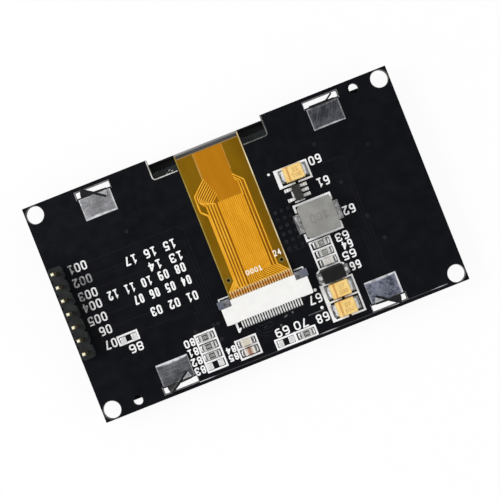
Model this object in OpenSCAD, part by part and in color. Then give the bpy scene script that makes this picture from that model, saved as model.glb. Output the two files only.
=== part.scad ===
// Small graphic display module: a glass panel in a folded steel frame, clipped to its board.
// It lies on its display face, with the parts side up. X runs along the board, Y points to the
// edge with the cable, and the origin is under the middle of the board.

/* [Panel] */
// Length of the panel glass
glass_l = 60.5; // [58:0.5:80]
// Width of the panel glass
glass_w = 37; // [34:0.5:50]
// Thickness of each of the two glass plates
glass_t = 0.95; // [0.7:0.05:1.2]
// Width of the ledge that carries the driver chip and the cable
ledge_w = 5; // [4.6:0.1:7]
// Thickness of the front polarizer
film_t = 0.18; // [0.1:0.02:0.3]
// Rim of the polarizer outside the window
film_lap = 0.5; // [0.2:0.1:0.7]
// Rim of the window outside the lit area
lit_margin = 1; // [0.5:0.1:3]
// Depth of the hollow etched into the cover glass
hollow_d = 0.35; // [0.3:0.01:0.45]
// Rim of the hollow inside the cover glass
hollow_rim = 1.2; // [0.6:0.1:1.5]
// Thickness of the layer of pixels
pixel_t = 0.05; // [0.03:0.01:0.08]
// Thickness of the drying sheet
dryer_t = 0.2; // [0.1:0.01:0.22]
// Rim of the hollow that the drying sheet leaves free
dryer_rim = 1.5; // [0.5:0.1:4]
// Length of the driver chip
driver_l = 11; // [8:0.5:14]
// Width of the driver chip
driver_w = 1.3; // [0.8:0.1:1.5]
// Thickness of the driver chip
driver_t = 0.3; // [0.2:0.05:0.4]
// Distance of the driver chip from the cover glass
driver_gap = 0.6; // [0.3:0.1:0.8]
// Thickness of the foam tape behind the panel
foam_t = 0.5; // [0.3:0.05:1]
// Width of a strip of foam tape
foam_w = 8; // [4:0.5:12]
// Distance of the foam tape from the ends of the glass
foam_inset = 4; // [2:0.5:8]

/* [Frame] */
// Thickness of the frame's steel sheet
sheet_t = 0.3; // [0.2:0.05:0.4]
// Clearance between the glass and the frame's walls
glass_gap = 0.3; // [0.1:0.05:0.5]
// Outer radius of the folded edges
fold_r = 0.5; // [0.35:0.05:0.6]
// How far a folded wall ends short of the next wall's inner face at a corner
corner_slit = 0.15; // [0.1:0.05:0.5]
// How far the frame covers the glass at its two ends
end_lap = 1.75; // [1:0.05:3]
// How far the frame covers the glass on the side without the cable
side_lap = 1.75; // [1:0.05:3]
// How far the frame covers the cover glass on the cable side
ledge_lap = 0.75; // [0.5:0.05:2]
// Length of a twisted tab
tab_l = 4.9; // [3:0.1:6]
// Angle by which a tab is twisted
tab_turn = 36; // [20:1:45]
// Height over which a tab twists
tab_turn_h = 0.5; // [0.3:0.1:1]
// Height of a tab above its twist
tab_head_h = 0.6; // [0.3:0.1:1.5]
// Distance of the tabs on the cable side from the ends of the frame
tab_in_top = 8.45; // [7:0.05:11]
// Distance of the tabs on the other side from the ends of the frame
tab_in_low = 10.35; // [7:0.05:11.5]
// Length of the end of a tab that is pried outward instead of twisted
pry_l = 2; // [1.6:0.1:2.6]
// Angle of the pried end
pry_turn = 35; // [15:1:40]
// Bend radius of the pried end
pry_r = 1.2; // [0.8:0.1:1.6]
// How far the frame's bulge reaches under the board past each end of the notch
bulge_over = 0.6; // [0.1:0.1:1.5]
// Height of the bulge's lip above the glass ledge
lip_rise = 0.35; // [0.2:0.05:0.45]

/* [Board] */
// Margin of the board outside the glass at the two ends
board_margin_x = 5.45; // [5.3:0.05:9]
// Margin of the board outside the glass along its sides
board_margin_y = 2.5; // [2.3:0.05:5]
// Thickness of the board
board_t = 1.6; // [0.8:0.1:2.4]
// Diameter of the corner holes
corner_hole_d = 3.3; // [2:0.1:3.6]
// Rim of the board outside a corner hole
corner_rim = 0.2; // [0.15:0.05:0.6]
// Diameter of the two locating holes
locating_d = 1.8; // [1:0.1:2]
// Distance of the locating holes from the board's long edges
locating_in_y = 1.7; // [1.6:0.1:2]
// Distance of a locating hole from the board's short edge
locating_in_x = 6.9; // [6:0.1:7.5]
// Length of a tab slot
slot_l = 6.6; // [6.2:0.1:7.4]
// Width of a tab slot
slot_w = 1.4; // [0.8:0.1:1.5]
// Clearance between a tab and the inner edge of its slot
slot_gap = 0.05; // [0.02:0.01:0.1]
// Corner radius of the slots
slot_r = 0.2; // [0.1:0.05:0.35]
// Length of the notch for the cable
notch_l = 22.3; // [16:0.1:24]
// Distance of the notch's floor inside the edge of the glass
notch_in = 1.3; // [0.8:0.1:2]
// Corner radius of the notch
notch_r = 0.5; // [0.1:0.1:1]
// Thickness of the tinned lands
land_t = 0.05; // [0.03:0.01:0.1]
// Length of the land beside a tab
tab_land_l = 6.2; // [5.5:0.1:6.4]
// Width of the land beside a tab
tab_land_w = 4.15; // [2:0.05:5]

/* [Cable] */
// Number of contacts of the cable
contact_n = 24; // [10:1:26]
// Pitch of the contacts
contact_pitch = 0.5; // [0.4:0.02:0.54]
// Thickness of the cable
cable_t = 0.1; // [0.06:0.01:0.14]
// Length of cable bonded to the glass ledge
bond_l = 1.8; // [1.2:0.1:1.9]
// Place of the cable and its connector along the board
cable_x = -0.15; // [-2:0.05:0.1]
// Thickness of the stiffener under the cable's end
stiffener_t = 0.2; // [0.1:0.02:0.3]
// Length of the stiffener in front of the connector
stiffener_out = 2.3; // [2:0.1:3]
// Length over which the cable climbs to the connector
climb_l = 4; // [2:0.1:6]
// Diameter of the two small holes in the cable
cable_hole_d = 0.55; // [0.3:0.05:0.8]

/* [Cable connector] */
// Distance of the connector's mouth from the board's plain long edge
mouth_up = 12.6; // [12:0.1:16]
// Depth of the housing
housing_w = 4.25; // [3.8:0.05:5]
// Height of the housing
housing_h = 2; // [1.8:0.1:3]
// Length of each wing of the housing beside the cable
wing_l = 2.1; // [1.6:0.1:2.4]
// Distance of the wings behind the mouth
wing_back = 1.1; // [0.8:0.1:1.6]
// Thickness of the housing's floor
floor_t = 0.25; // [0.2:0.05:0.35]
// Clearance between the sliding lock and everything else
slide_gap = 0.06; // [0.04:0.01:0.1]
// Thickness of the lock's tongue
tongue_t = 0.4; // [0.3:0.05:0.5]
// Depth of the lock's tongue inside the mouth
tongue_w = 2.6; // [1.5:0.1:3]
// Depth of the bar in front of the mouth
lock_bar = 0.3; // [0.2:0.05:0.5]
// Length of each ear of the lock
ear_l = 2.4; // [2:0.1:2.8]
// Height of the ears above the board
ear_top = 1.5; // [1.3:0.1:1.7]
// Width of a contact
contact_t = 0.2; // [0.15:0.01:0.26]
// Length of a contact's foot behind the housing
foot_l = 1.2; // [0.8:0.1:1.6]

/* [Pin header] */
// Number of pins
pin_n = 7; // [2:1:11]
// Pitch of the pins
pin_pitch = 2.54; // [2:0.01:3.2]
// Thickness of a square pin
pin_w = 0.64; // [0.5:0.01:0.68]
// Diameter of a pin's hole in the board
pin_hole_d = 1; // [1:0.05:1.1]
// Length of the pins above the header's body
pin_above = 6; // [3:0.1:12]
// Length of the pins below the board
pin_below = 1.4; // [1.1:0.1:1.6]
// Width of the header's body
header_w = 2.5; // [2:0.1:2.8]
// Height of the header's body
header_h = 2.54; // [1.5:0.01:3.5]
// Distance of the row of pins from the board's edge
header_in = 1.75; // [1.6:0.05:2.1]
// Height of a solder cone
solder_h = 0.9; // [0.5:0.1:1]
// Diameter of a solder cone
solder_d = 1.9; // [1.5:0.1:2.2]

/* [Chips] */
// Length of a chip resistor or ceramic capacitor
chip_l = 2; // [1.6:0.1:2.2]
// Width of a chip
chip_w = 1.25; // [0.8:0.05:1.35]
// Height of a resistor
resistor_h = 0.5; // [0.35:0.05:0.7]
// Height of a ceramic capacitor
ceramic_h = 0.85; // [0.5:0.05:1.25]
// Length of a chip's metal ends
chip_end = 0.4; // [0.2:0.05:0.6]
// Thickness of the metal ends
plate_t = 0.03; // [0.02:0.01:0.06]
// Gap between chips in a row of footprints
chip_gap = 0.52; // [0.4:0.02:0.6]
// Length of a chip's land
chip_land_l = 1.1; // [0.8:0.1:1.3]
// Distance from the middle of a chip to the middle of its lands
chip_land_x = 1.05; // [0.9:0.05:1.2]

/* [Moulded parts] */
// Length of a tantalum capacitor
tantalum_l = 3.6; // [3:0.1:3.8]
// Width of a tantalum capacitor
tantalum_w = 2.9; // [2.4:0.1:3.1]
// Height of a tantalum capacitor
tantalum_h = 1.9; // [1.4:0.1:2.6]
// Length of the diode's body
diode_l = 4.3; // [3.6:0.1:4.5]
// Width of the diode's body
diode_w = 2.6; // [2:0.1:2.8]
// Height of the diode
diode_h = 2.2; // [1.6:0.1:2.6]
// Thickness of the bent leads
lead_t = 0.15; // [0.1:0.01:0.2]
// Length of the regulator's body
regulator_l = 2.9; // [2.6:0.1:3.2]
// Width of the regulator's body
regulator_w = 1.6; // [1.3:0.1:1.8]
// Height of the regulator
regulator_h = 1.1; // [0.9:0.05:1.4]
// Pitch of the regulator's leads
regulator_pitch = 0.95; // [0.8:0.01:1.05]
// Narrowing of a moulded body from its middle to its faces
draft = 0.12; // [0.05:0.01:0.2]

/* [Coil] */
// Length of the coil's ferrite plates
coil_l = 6.5; // [5:0.1:6.8]
// Width of the coil's ferrite plates
coil_w = 6.3; // [5:0.1:6.8]
// Height of the coil
coil_h = 2.8; // [2:0.1:4]
// Thickness of a ferrite plate
plate_h = 0.75; // [0.5:0.05:0.9]
// Corner chamfer of the ferrite plates
coil_cut = 0.45; // [0.2:0.05:1]
// Diameter of the ferrite post
post_d = 2.6; // [2:0.1:3.4]
// Thickness of the coil's wire
wire_d = 0.3; // [0.2:0.02:0.4]
// Layers of wire on the post
wire_layers = 4; // [2:1:4]
// Width of a coil terminal
terminal_w = 3.6; // [2:0.1:4.4]
// How far a coil terminal stands out from the plate
terminal_out = 0.6; // [0.3:0.1:1]
// How far a coil terminal reaches under the plate
terminal_under = 1; // [0.5:0.1:1.8]

/* [Hidden] */
$fn = 48;
cut = 0.5;

// Heights, from the display face up
film_z = sheet_t;
glass_z = film_z + film_t;
ledge_z = glass_z + glass_t;
foam_z = ledge_z + glass_t;
board_z = foam_z + foam_t;
board_top = board_z + board_t;
land_top = board_top + land_t;

// Panel and frame outlines
cover_w = glass_w - ledge_w;
cover_y = -ledge_w / 2;
window_l = glass_l - 2 * end_lap;
window_w = cover_w - side_lap - ledge_lap;
window_y = cover_y + (side_lap - ledge_lap) / 2;
frame_l = glass_l + 2 * (glass_gap + sheet_t);
frame_w = glass_w + 2 * (glass_gap + sheet_t);
tab_y = (frame_w - sheet_t) / 2;
tab_x_top = frame_l / 2 - tab_in_top;
tab_x_low = frame_l / 2 - tab_in_low;
stem_h = board_t + land_t;

// Board outline
board_l = glass_l + 2 * board_margin_x;
board_w = glass_w + 2 * board_margin_y;
low_edge = -board_w / 2;
corner_in = corner_hole_d / 2 + corner_rim;
slot_in_y = frame_w / 2 - sheet_t - slot_gap;
slot_y = slot_in_y + slot_w / 2;
notch_y = glass_w / 2 - notch_in;

// The cable's bend, from the glass ledge round to the back of the board
cable_w = (contact_n + 1) * contact_pitch;
bend_out = 0.05;
bend_y = glass_w / 2 + bend_out;
bend_r = (board_top + cable_t - ledge_z) / 2;
bend_z = ledge_z + bend_r;
bulge_l = notch_l + 2 * bulge_over;
bulge_past = 0.08;
bulge_y = bend_y + bend_r + bulge_past;
lip_top = ledge_z + lip_rise;
cable_hole_in = 1.05;
cable_hole_back = 1.1;

// The connector, from its mouth back
mouth_y = low_edge + mouth_up;
wing_y = mouth_y - wing_back;
rear_y = mouth_y - housing_w;
mouth_play = 0.05;
mouth_l = cable_w + 2 * mouth_play;
housing_l = mouth_l + 2 * wing_l;
tongue_z = floor_t + slide_gap;
stiffener_z = tongue_z + tongue_t + slide_gap;
cable_end_z = stiffener_z + stiffener_t;
roof_z = cable_end_z + cable_t + 0.05;
beam_t = 0.25;
groove_z = roof_z + beam_t;
tongue_stop = 0.2;
cable_end_y = mouth_y - tongue_w - tongue_stop;
flat_end = mouth_y + stiffener_out;
ear_w = wing_back + lock_bar;
arm_l = 0.6;
arm_w = 1.6;
arm_in = 0.1;

// A contact: its tail leaves the housing at tail_z and its riser stands near the rear wall
tail_z = land_t + 0.25;
riser_y = rear_y + 0.5;
riser_w = 0.3;
beam_tip_y = mouth_y - 0.5;
beam_slot_end = 0.3;
contact_play = 0.01;
contact_land_end = 0.1;
contact_land_w = 0.6 * contact_pitch;

// The header
header_x = -board_l / 2 + header_in;
pin_tip_z = board_top + header_h + pin_above;

// Places of the small parts: X from the middle of the board, Y up from its plain edge
chip_pitch = chip_w + chip_gap;
column_x = 12.9;
column_foot = 2.15;
tantalum_gap = 0.6;
diode_gap = 0.25;
column_chips_gap = 0.6;
coil_gap = 0.8;
regulator_gap = 1;
top_tantalum_gap = 0.7;
tantalum_up = [
    column_foot + tantalum_w / 2,
    column_foot + 1.5 * tantalum_w + tantalum_gap
];
diode_up = tantalum_up[1] + (tantalum_w + diode_w) / 2 + diode_gap;
column_chips_up = diode_up + (diode_w + chip_w) / 2 + column_chips_gap;
coil_up = column_chips_up + 2 * chip_pitch + (chip_w + coil_w) / 2 + coil_gap;
regulator_up = coil_up + (coil_w + regulator_l) / 2 + regulator_gap;
top_tantalum_up = regulator_up + (regulator_l + tantalum_w) / 2 + top_tantalum_gap;
coil_x = column_x + 1.3;
regulator_x = column_x - 0.6;
tantalum_shift = [0, 0.1, -0.05];
left_x = -13.15;
left_up = 2.6;
middle_x = -6.45;
middle_up = 2.6;
pair_x = 4.35;
pair_up = 1.75;
pair_pitch = 4;
empty_x = -board_l / 2 + 9.5;
empty_up = 12.9;

resistor_at = [
    [column_x, column_chips_up + 2 * chip_pitch],
    [column_x, column_chips_up + chip_pitch],
    [left_x, left_up + 3 * chip_pitch],
    [left_x, left_up + 2 * chip_pitch],
    [left_x, left_up + chip_pitch],
    [pair_x, pair_up]
];
ceramic_at = [
    [column_x, column_chips_up],
    [middle_x, middle_up + chip_pitch],
    [middle_x, middle_up]
];
tantalum_at = [
    [column_x + tantalum_shift[0], top_tantalum_up],
    [column_x + tantalum_shift[1], tantalum_up[1]],
    [column_x + tantalum_shift[2], tantalum_up[0]]
];
empty_at = [
    [left_x, left_up],
    [pair_x - pair_pitch, pair_up],
    [empty_x, empty_up]
];

// General shapes

// A block centred in X and Y, standing on z = 0
module slab(l, w, h) {
    translate([-l / 2, -w / 2, 0]) cube([l, w, h]);
}

// A block with rounded upright edges
module rounded_slab(l, w, h, r) {
    slab(l - 2 * r, w, h);
    slab(l, w - 2 * r, h);
    for (x = [-1, 1], y = [-1, 1])
        translate([x * (l / 2 - r), y * (w / 2 - r), 0]) cylinder(r = r, h = h);
}

// An outline drawn in X and Z, extruded to a width centred on Y
module across_y(w) {
    translate([0, w / 2, 0]) rotate([90, 0, 0]) linear_extrude(w) children();
}

// An outline drawn in Y and Z, extruded to a width centred on X
module across_x(w) {
    translate([-w / 2, 0, 0]) rotate([90, 0, 90]) linear_extrude(w) children();
}

// Puts a small part on the board's lands
module on_board(at) {
    translate([at.x, low_edge + at.y, land_top]) children();
}

// Panel

module front_glass() {
    color("#3a3f46") translate([0, 0, glass_z]) slab(glass_l, glass_w, glass_t);
}

module cover_glass() {
    color("#59616b") translate([0, cover_y, ledge_z]) difference() {
        slab(glass_l, cover_w, glass_t);
        translate([0, 0, -cut])
            slab(glass_l - 2 * hollow_rim, cover_w - 2 * hollow_rim, hollow_d + cut);
    }
}

module pixel_layer() {
    color("#101c2c") translate([0, window_y, ledge_z])
        slab(window_l - 2 * lit_margin, window_w - 2 * lit_margin, pixel_t);
}

module drying_sheet() {
    rim = 2 * (hollow_rim + dryer_rim);
    color("#d8d4c8") translate([0, cover_y, ledge_z + hollow_d - dryer_t])
        slab(glass_l - rim, cover_w - rim, dryer_t);
}

module polarizer() {
    color("#0b0f16") translate([0, window_y, film_z])
        slab(window_l + 2 * film_lap, window_w + 2 * film_lap, film_t);
}

module driver_chip() {
    y = cover_y + cover_w / 2 + driver_gap + driver_w / 2;
    color("#30343a") translate([cable_x, y, ledge_z]) slab(driver_l, driver_w, driver_t);
}

module foam_tape() {
    color("#1c1c1e") for (x = [-1, 1])
        translate([x * (glass_l / 2 - foam_inset - foam_w / 2), cover_y, foam_z])
            slab(foam_w, cover_w - 2 * foam_inset, foam_t);
}

// Frame

// Section of a folded pan: square at the top, rounded where it is folded
module pan_section(l, h) {
    translate([-l / 2, fold_r]) square([l, h - fold_r]);
    translate([-l / 2 + fold_r, 0]) square([l - 2 * fold_r, h]);
    for (s = [-1, 1])
        translate([s * (l / 2 - fold_r), fold_r]) circle(r = fold_r);
}

// A pan without its hollow: two crossing sections
module pan(l, w, h) {
    intersection() {
        across_y(w) pan_section(l, h);
        across_x(l) pan_section(w, h);
    }
}

// A tab: straight through the board, twisted above it, then straight again
module twist_tab(turn) {
    slab(tab_l, sheet_t, stem_h);
    translate([0, 0, stem_h])
        linear_extrude(tab_turn_h, twist = -turn, slices = 6, segments = 4)
            square([tab_l, sheet_t], center = true);
    translate([0, 0, stem_h + tab_turn_h])
        rotate([0, 0, turn]) slab(tab_l, sheet_t, tab_head_h);
}

// Plan of the pried tab's head: straight, then bent outward round its radius, then straight
module pried_outline() {
    bend_x = tab_l / 2 - pry_l;
    end_l = pry_l - pry_r * pry_turn * PI / 180;
    translate([-tab_l / 2, -sheet_t / 2]) square([tab_l - pry_l, sheet_t]);
    translate([bend_x, pry_r]) {
        intersection() {
            difference() {
                circle(r = pry_r + sheet_t / 2);
                circle(r = pry_r - sheet_t / 2);
            }
            polygon([
                [0, 0],
                [0, -2 * pry_r],
                [2 * pry_r * sin(pry_turn), -2 * pry_r * cos(pry_turn)]
            ]);
        }
        rotate(pry_turn) translate([0, -pry_r - sheet_t / 2]) square([end_l, sheet_t]);
    }
}

// The one tab whose head is pried outward at one end
module pried_tab() {
    slab(tab_l, sheet_t, stem_h);
    translate([0, 0, stem_h]) linear_extrude(tab_turn_h + tab_head_h) pried_outline();
}

module bezel() {
    inner_l = frame_l - 2 * sheet_t;
    inner_w = frame_w - 2 * sheet_t;
    corner_open = 2 * (sheet_t + corner_slit);
    bulge_w = 2 * bulge_y;
    color("#232427") {
        difference() {
            union() {
                pan(frame_l, frame_w, board_z);
                translate([cable_x, 0, 0]) intersection() {
                    pan(bulge_l, bulge_w, lip_top);
                    translate([0, bulge_y, 0]) slab(bulge_l, bulge_w, lip_top);
                }
            }
            translate([0, 0, sheet_t]) slab(inner_l, inner_w, board_z);
            translate([cable_x, bulge_y / 2, sheet_t])
                slab(bulge_l - 2 * sheet_t, bulge_y - 2 * sheet_t, board_z);
            translate([0, window_y, -cut]) slab(window_l, window_w, sheet_t + 2 * cut);
            for (x = [-1, 1], y = [-1, 1])
                translate([x * frame_l / 2, y * frame_w / 2, fold_r])
                    slab(corner_open, corner_open, board_z);
        }
        translate([-tab_x_top, tab_y, board_z]) twist_tab(-tab_turn);
        translate([tab_x_top, tab_y, board_z]) pried_tab();
        for (x = [-1, 1])
            translate([x * tab_x_low, -tab_y, board_z]) twist_tab(-x * tab_turn);
    }
}

// Board

module pcb() {
    color("#17181c") difference() {
        translate([0, 0, board_z]) slab(board_l, board_w, board_t);
        translate([0, 0, board_z - cut]) {
            through = board_t + 2 * cut;
            for (x = [-1, 1], y = [-1, 1])
                translate([x * (board_l / 2 - corner_in), y * (board_w / 2 - corner_in), 0])
                    cylinder(d = corner_hole_d, h = through);
            for (s = [-1, 1])
                translate([s * (board_l / 2 - locating_in_x), s * (board_w / 2 - locating_in_y), 0])
                    cylinder(d = locating_d, h = through);
            for (s = [-1, 1]) {
                translate([s * tab_x_top, slot_y, 0]) rounded_slab(slot_l, slot_w, through, slot_r);
                translate([s * tab_x_low, -slot_y, 0]) rounded_slab(slot_l, slot_w, through, slot_r);
            }
            for (k = [0 : pin_n - 1])
                translate([header_x, (k - (pin_n - 1) / 2) * pin_pitch, 0])
                    cylinder(d = pin_hole_d, h = through);
            translate([cable_x, notch_y + board_w / 2, 0])
                rounded_slab(notch_l, board_w, through, notch_r);
        }
    }
}

// One land, centred on its place
module land(l, w) {
    translate([0, 0, board_top]) slab(l, w, land_t);
}

module lands() {
    tab_land_y = slot_in_y - tab_land_w / 2;
    contact_land_l = foot_l + 2 * contact_land_end;
    contact_land_y = rear_y - 1.5 * contact_land_end - contact_land_l / 2;
    tantalum_land_x = tantalum_l / 2 + 0.15;
    diode_land_x = diode_l / 2 + 0.1;
    coil_land_x = coil_l / 2 + 0.1;
    regulator_land_x = regulator_w / 2 + 0.75;
    color("#b9bbbd") {
        for (s = [-1, 1]) {
            translate([s * tab_x_top, tab_land_y, 0]) land(tab_land_l, tab_land_w);
            translate([s * tab_x_low, -tab_land_y, 0]) land(tab_land_l, tab_land_w);
        }
        for (k = [0 : contact_n - 1])
            translate([cable_x + (k - (contact_n - 1) / 2) * contact_pitch, contact_land_y, 0])
                land(contact_land_w, contact_land_l);
        translate([0, low_edge, 0]) {
            for (at = concat(resistor_at, ceramic_at, empty_at), s = [-1, 1])
                translate([at.x + s * chip_land_x, at.y, 0]) land(chip_land_l, chip_w);
            for (at = tantalum_at, s = [-1, 1])
                translate([at.x + s * tantalum_land_x, at.y, 0]) land(1.5, 0.83 * tantalum_w);
            for (s = [-1, 1]) {
                translate([column_x + s * diode_land_x, diode_up, 0]) land(1.6, 0.7 * diode_w);
                translate([coil_x + s * coil_land_x, coil_up, 0]) land(2, terminal_w);
            }
            for (place = regulator_leads_at)
                translate([regulator_x + place.x * regulator_land_x, regulator_up + place.y, 0])
                    land(1.3, 0.65);
        }
    }
}

// Cable

module flex_cable() {
    climb_y = flat_end + climb_l;
    bonded = bond_l + bend_out;
    color("#b5761a") translate([cable_x, 0, 0]) difference() {
        union() {
            translate([0, bend_y - bonded / 2, ledge_z]) slab(cable_w, bonded, cable_t);
            across_x(cable_w) intersection() {
                translate([bend_y, bend_z]) difference() {
                    circle(r = bend_r);
                    circle(r = bend_r - cable_t);
                }
                translate([bend_y, ledge_z]) square([2 * bend_r, 2 * bend_r]);
            }
            translate([0, (bend_y + climb_y) / 2, board_top])
                slab(cable_w, bend_y - climb_y, cable_t);
            across_x(cable_w) polygon([
                [climb_y, board_top],
                [climb_y, board_top + cable_t],
                [flat_end, board_top + cable_end_z + cable_t],
                [flat_end, board_top + cable_end_z]
            ]);
            translate([0, (flat_end + cable_end_y) / 2, board_top + cable_end_z])
                slab(cable_w, flat_end - cable_end_y, cable_t);
        }
        for (s = [-1, 1])
            translate([s * (cable_w / 2 - cable_hole_in), flat_end + cable_hole_back, board_top - cut])
                cylinder(d = cable_hole_d, h = cable_end_z + 2 * cut);
    }
}

module flex_stiffener() {
    color("#2f5f9a") translate([cable_x, (flat_end + cable_end_y) / 2, board_top + stiffener_z])
        slab(cable_w, flat_end - cable_end_y, stiffener_t);
}

// Cable connector

// Outline of a contact in Y and Z: foot, riser and the beam that presses on the cable
module contact_outline() {
    t = lead_t;
    knee_y = rear_y - 0.1;
    knee = tail_z - land_t;
    dimple = 0.3;
    dimple_depth = 0.05;
    polygon([
        [rear_y - foot_l, land_t],
        [knee_y - knee, land_t],
        [knee_y, tail_z],
        [riser_y + riser_w, tail_z],
        [riser_y + riser_w, roof_z],
        [beam_tip_y - 2 * dimple, roof_z],
        [beam_tip_y - dimple, roof_z - dimple_depth],
        [beam_tip_y, roof_z],
        [beam_tip_y, roof_z + t],
        [riser_y + riser_w, groove_z],
        [riser_y, groove_z],
        [riser_y, tail_z + t],
        [knee_y - t / 2, tail_z + t],
        [knee_y - knee - t / 2, land_t + t],
        [rear_y - foot_l, land_t + t]
    ]);
}

module at_contacts() {
    for (k = [0 : contact_n - 1])
        translate([cable_x + (k - (contact_n - 1) / 2) * contact_pitch, 0, board_top]) children();
}

module connector_contacts() {
    color("#d9dadb") at_contacts() across_x(contact_t) contact_outline();
}

// A slot for a contact, between two places along Y and two heights
module contact_slot(y0, y1, z0, z1) {
    slot_t = contact_t + 2 * contact_play;
    translate([-slot_t / 2, y0, z0]) cube([slot_t, y1 - y0, z1 - z0]);
}

module connector_housing() {
    arm_gap = arm_l + 2 * slide_gap;
    arm_x = mouth_l / 2 + arm_in + arm_gap / 2;
    body_y = (wing_y + rear_y) / 2;
    inner_end_y = cable_end_y - tongue_stop / 2;
    inner_l = cable_w + 0.8 * mouth_play;
    play = 2 * contact_play;
    color("#f4f3ef") difference() {
        translate([cable_x, 0, board_top]) union() {
            translate([0, body_y, 0]) slab(housing_l, wing_y - rear_y, housing_h);
            translate([0, (mouth_y + body_y) / 2, 0]) slab(mouth_l, mouth_y - body_y, housing_h);
        }
        translate([cable_x, 0, board_top]) {
            translate([0, (mouth_y + cut + inner_end_y) / 2, floor_t])
                slab(inner_l, mouth_y + cut - inner_end_y, roof_z - floor_t);
            for (s = [-1, 1])
                translate([s * arm_x, wing_y, tongue_z - slide_gap])
                    slab(arm_gap, 2 * (arm_w + tongue_stop), ear_top - tongue_z);
        }
        at_contacts() {
            contact_slot(riser_y - play, mouth_y - beam_slot_end, roof_z - 0.1, groove_z + play);
            contact_slot(riser_y - play, riser_y + riser_w + play, tail_z - play, groove_z + play);
            contact_slot(rear_y - cut, riser_y + riser_w / 2, tail_z - play, tail_z + lead_t + play);
        }
    }
}

module connector_lock() {
    arm_x = mouth_l / 2 + arm_in + slide_gap + arm_l / 2;
    ear_x = mouth_l / 2 + slide_gap + ear_l / 2;
    bar_y = mouth_y + slide_gap + lock_bar / 2;
    tongue_y = mouth_y + slide_gap + lock_bar - (tongue_w + lock_bar) / 2;
    ear_y = wing_y + slide_gap + ear_w / 2;
    color("#666b74") translate([cable_x, 0, board_top + tongue_z]) {
        translate([0, bar_y, 0]) slab(mouth_l + 2 * (slide_gap + ear_l), lock_bar, tongue_t);
        translate([0, tongue_y, 0]) slab(cable_w - 2 * slide_gap, tongue_w + lock_bar, tongue_t);
        for (s = [-1, 1]) {
            translate([s * ear_x, ear_y, 0]) slab(ear_l, ear_w, ear_top - tongue_z);
            translate([s * arm_x, wing_y - arm_w / 2 + slide_gap, 0])
                slab(arm_l, arm_w, ear_top - tongue_z - 3 * slide_gap);
        }
    }
}

// Pin header

module at_pins() {
    for (k = [0 : pin_n - 1])
        translate([header_x, (k - (pin_n - 1) / 2) * pin_pitch, 0]) children();
}

module header_body() {
    bevel = 0.35;
    color("#1d1e20") difference() {
        at_pins() translate([0, 0, board_top]) linear_extrude(header_h) polygon([
            [-header_w / 2, -pin_pitch / 2 + bevel],
            [-header_w / 2, pin_pitch / 2 - bevel],
            [-header_w / 2 + bevel, pin_pitch / 2],
            [header_w / 2 - bevel, pin_pitch / 2],
            [header_w / 2, pin_pitch / 2 - bevel],
            [header_w / 2, -pin_pitch / 2 + bevel],
            [header_w / 2 - bevel, -pin_pitch / 2],
            [-header_w / 2 + bevel, -pin_pitch / 2]
        ]);
        at_pins() translate([0, 0, board_top - cut]) slab(pin_w, pin_w, header_h + 2 * cut);
    }
}

// A pin's outline, with both ends cut to a point
module pin_outline() {
    low = board_z - pin_below;
    point = 0.5;
    flat = 0.16;
    polygon([
        [-pin_w / 2, low + point],
        [-flat, low],
        [flat, low],
        [pin_w / 2, low + point],
        [pin_w / 2, pin_tip_z - point],
        [flat, pin_tip_z],
        [-flat, pin_tip_z],
        [-pin_w / 2, pin_tip_z - point]
    ]);
}

module header_pins() {
    color("#d8c27a") at_pins() intersection() {
        across_y(pin_w) pin_outline();
        across_x(pin_w) pin_outline();
    }
}

// Solder fills a pin's hole and climbs the pin in a hollow cone
module header_solder() {
    steps = 6;
    hole_play = 0.02;
    cone = [for (k = [0 : steps]) let (u = k / steps)
        [pin_hole_d / 2 + (solder_d - pin_hole_d) / 2 * pow(1 - u, 2), -solder_h * u]];
    color("#c2c4c6") at_pins() translate([0, 0, board_z]) difference() {
        union() {
            rotate_extrude() polygon(concat([[0, 0]], cone, [[0, -solder_h]]));
            cylinder(d = pin_hole_d - hole_play, h = board_t);
        }
        translate([0, 0, -solder_h - cut]) slab(pin_w, pin_w, solder_h + board_t + 2 * cut);
    }
}

// Chips

module chip_ends(h) {
    for (s = [-1, 1])
        translate([s * (chip_l - chip_end) / 2, 0, 0]) slab(chip_end, chip_w, h);
}

module resistor(k) {
    coat_l = chip_l - 2 * chip_end - 0.1;
    coat_w = chip_w - 0.15;
    color("#55565a") on_board(resistor_at[k]) {
        chip_ends(resistor_h);
        translate([0, 0, plate_t])
            slab(chip_l - plate_t, chip_w - 2 * plate_t, resistor_h - 2 * plate_t);
        translate([0, 0, resistor_h / 2]) slab(coat_l, coat_w, resistor_h / 2);
    }
}

module ceramic_cap(k, tint) {
    color(tint) on_board(ceramic_at[k]) {
        chip_ends(ceramic_h);
        translate([0, 0, plate_t])
            slab(chip_l - plate_t, chip_w - 2 * plate_t, ceramic_h - 2 * plate_t);
    }
}

// Moulded parts

// Section of a moulded body: widest at its parting line
module moulded_section(l, h) {
    polygon([
        [-l / 2 + draft, 0],
        [l / 2 - draft, 0],
        [l / 2, h / 2],
        [l / 2 - draft, h],
        [-l / 2 + draft, h],
        [-l / 2, h / 2]
    ]);
}

module moulded(l, w, h) {
    intersection() {
        across_y(w) moulded_section(l, h);
        across_x(l) moulded_section(w, h);
    }
}

// Lead bent down from the parting line and back under the body
module bent_leads(l, h, w, foot) {
    middle = (lead_t + h) / 2;
    for (s = [0, 1]) mirror([s, 0, 0]) across_y(w) polygon([
        [l / 2 - foot, 0],
        [l / 2 + lead_t, 0],
        [l / 2 + lead_t, middle + lead_t / 2],
        [l / 2, middle + lead_t / 2],
        [l / 2, lead_t],
        [l / 2 - foot, lead_t]
    ]);
}

module tantalum_cap(k) {
    color("#ecc980") on_board(tantalum_at[k]) translate([0, 0, lead_t])
        moulded(tantalum_l, tantalum_w, tantalum_h - lead_t);
}

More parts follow.
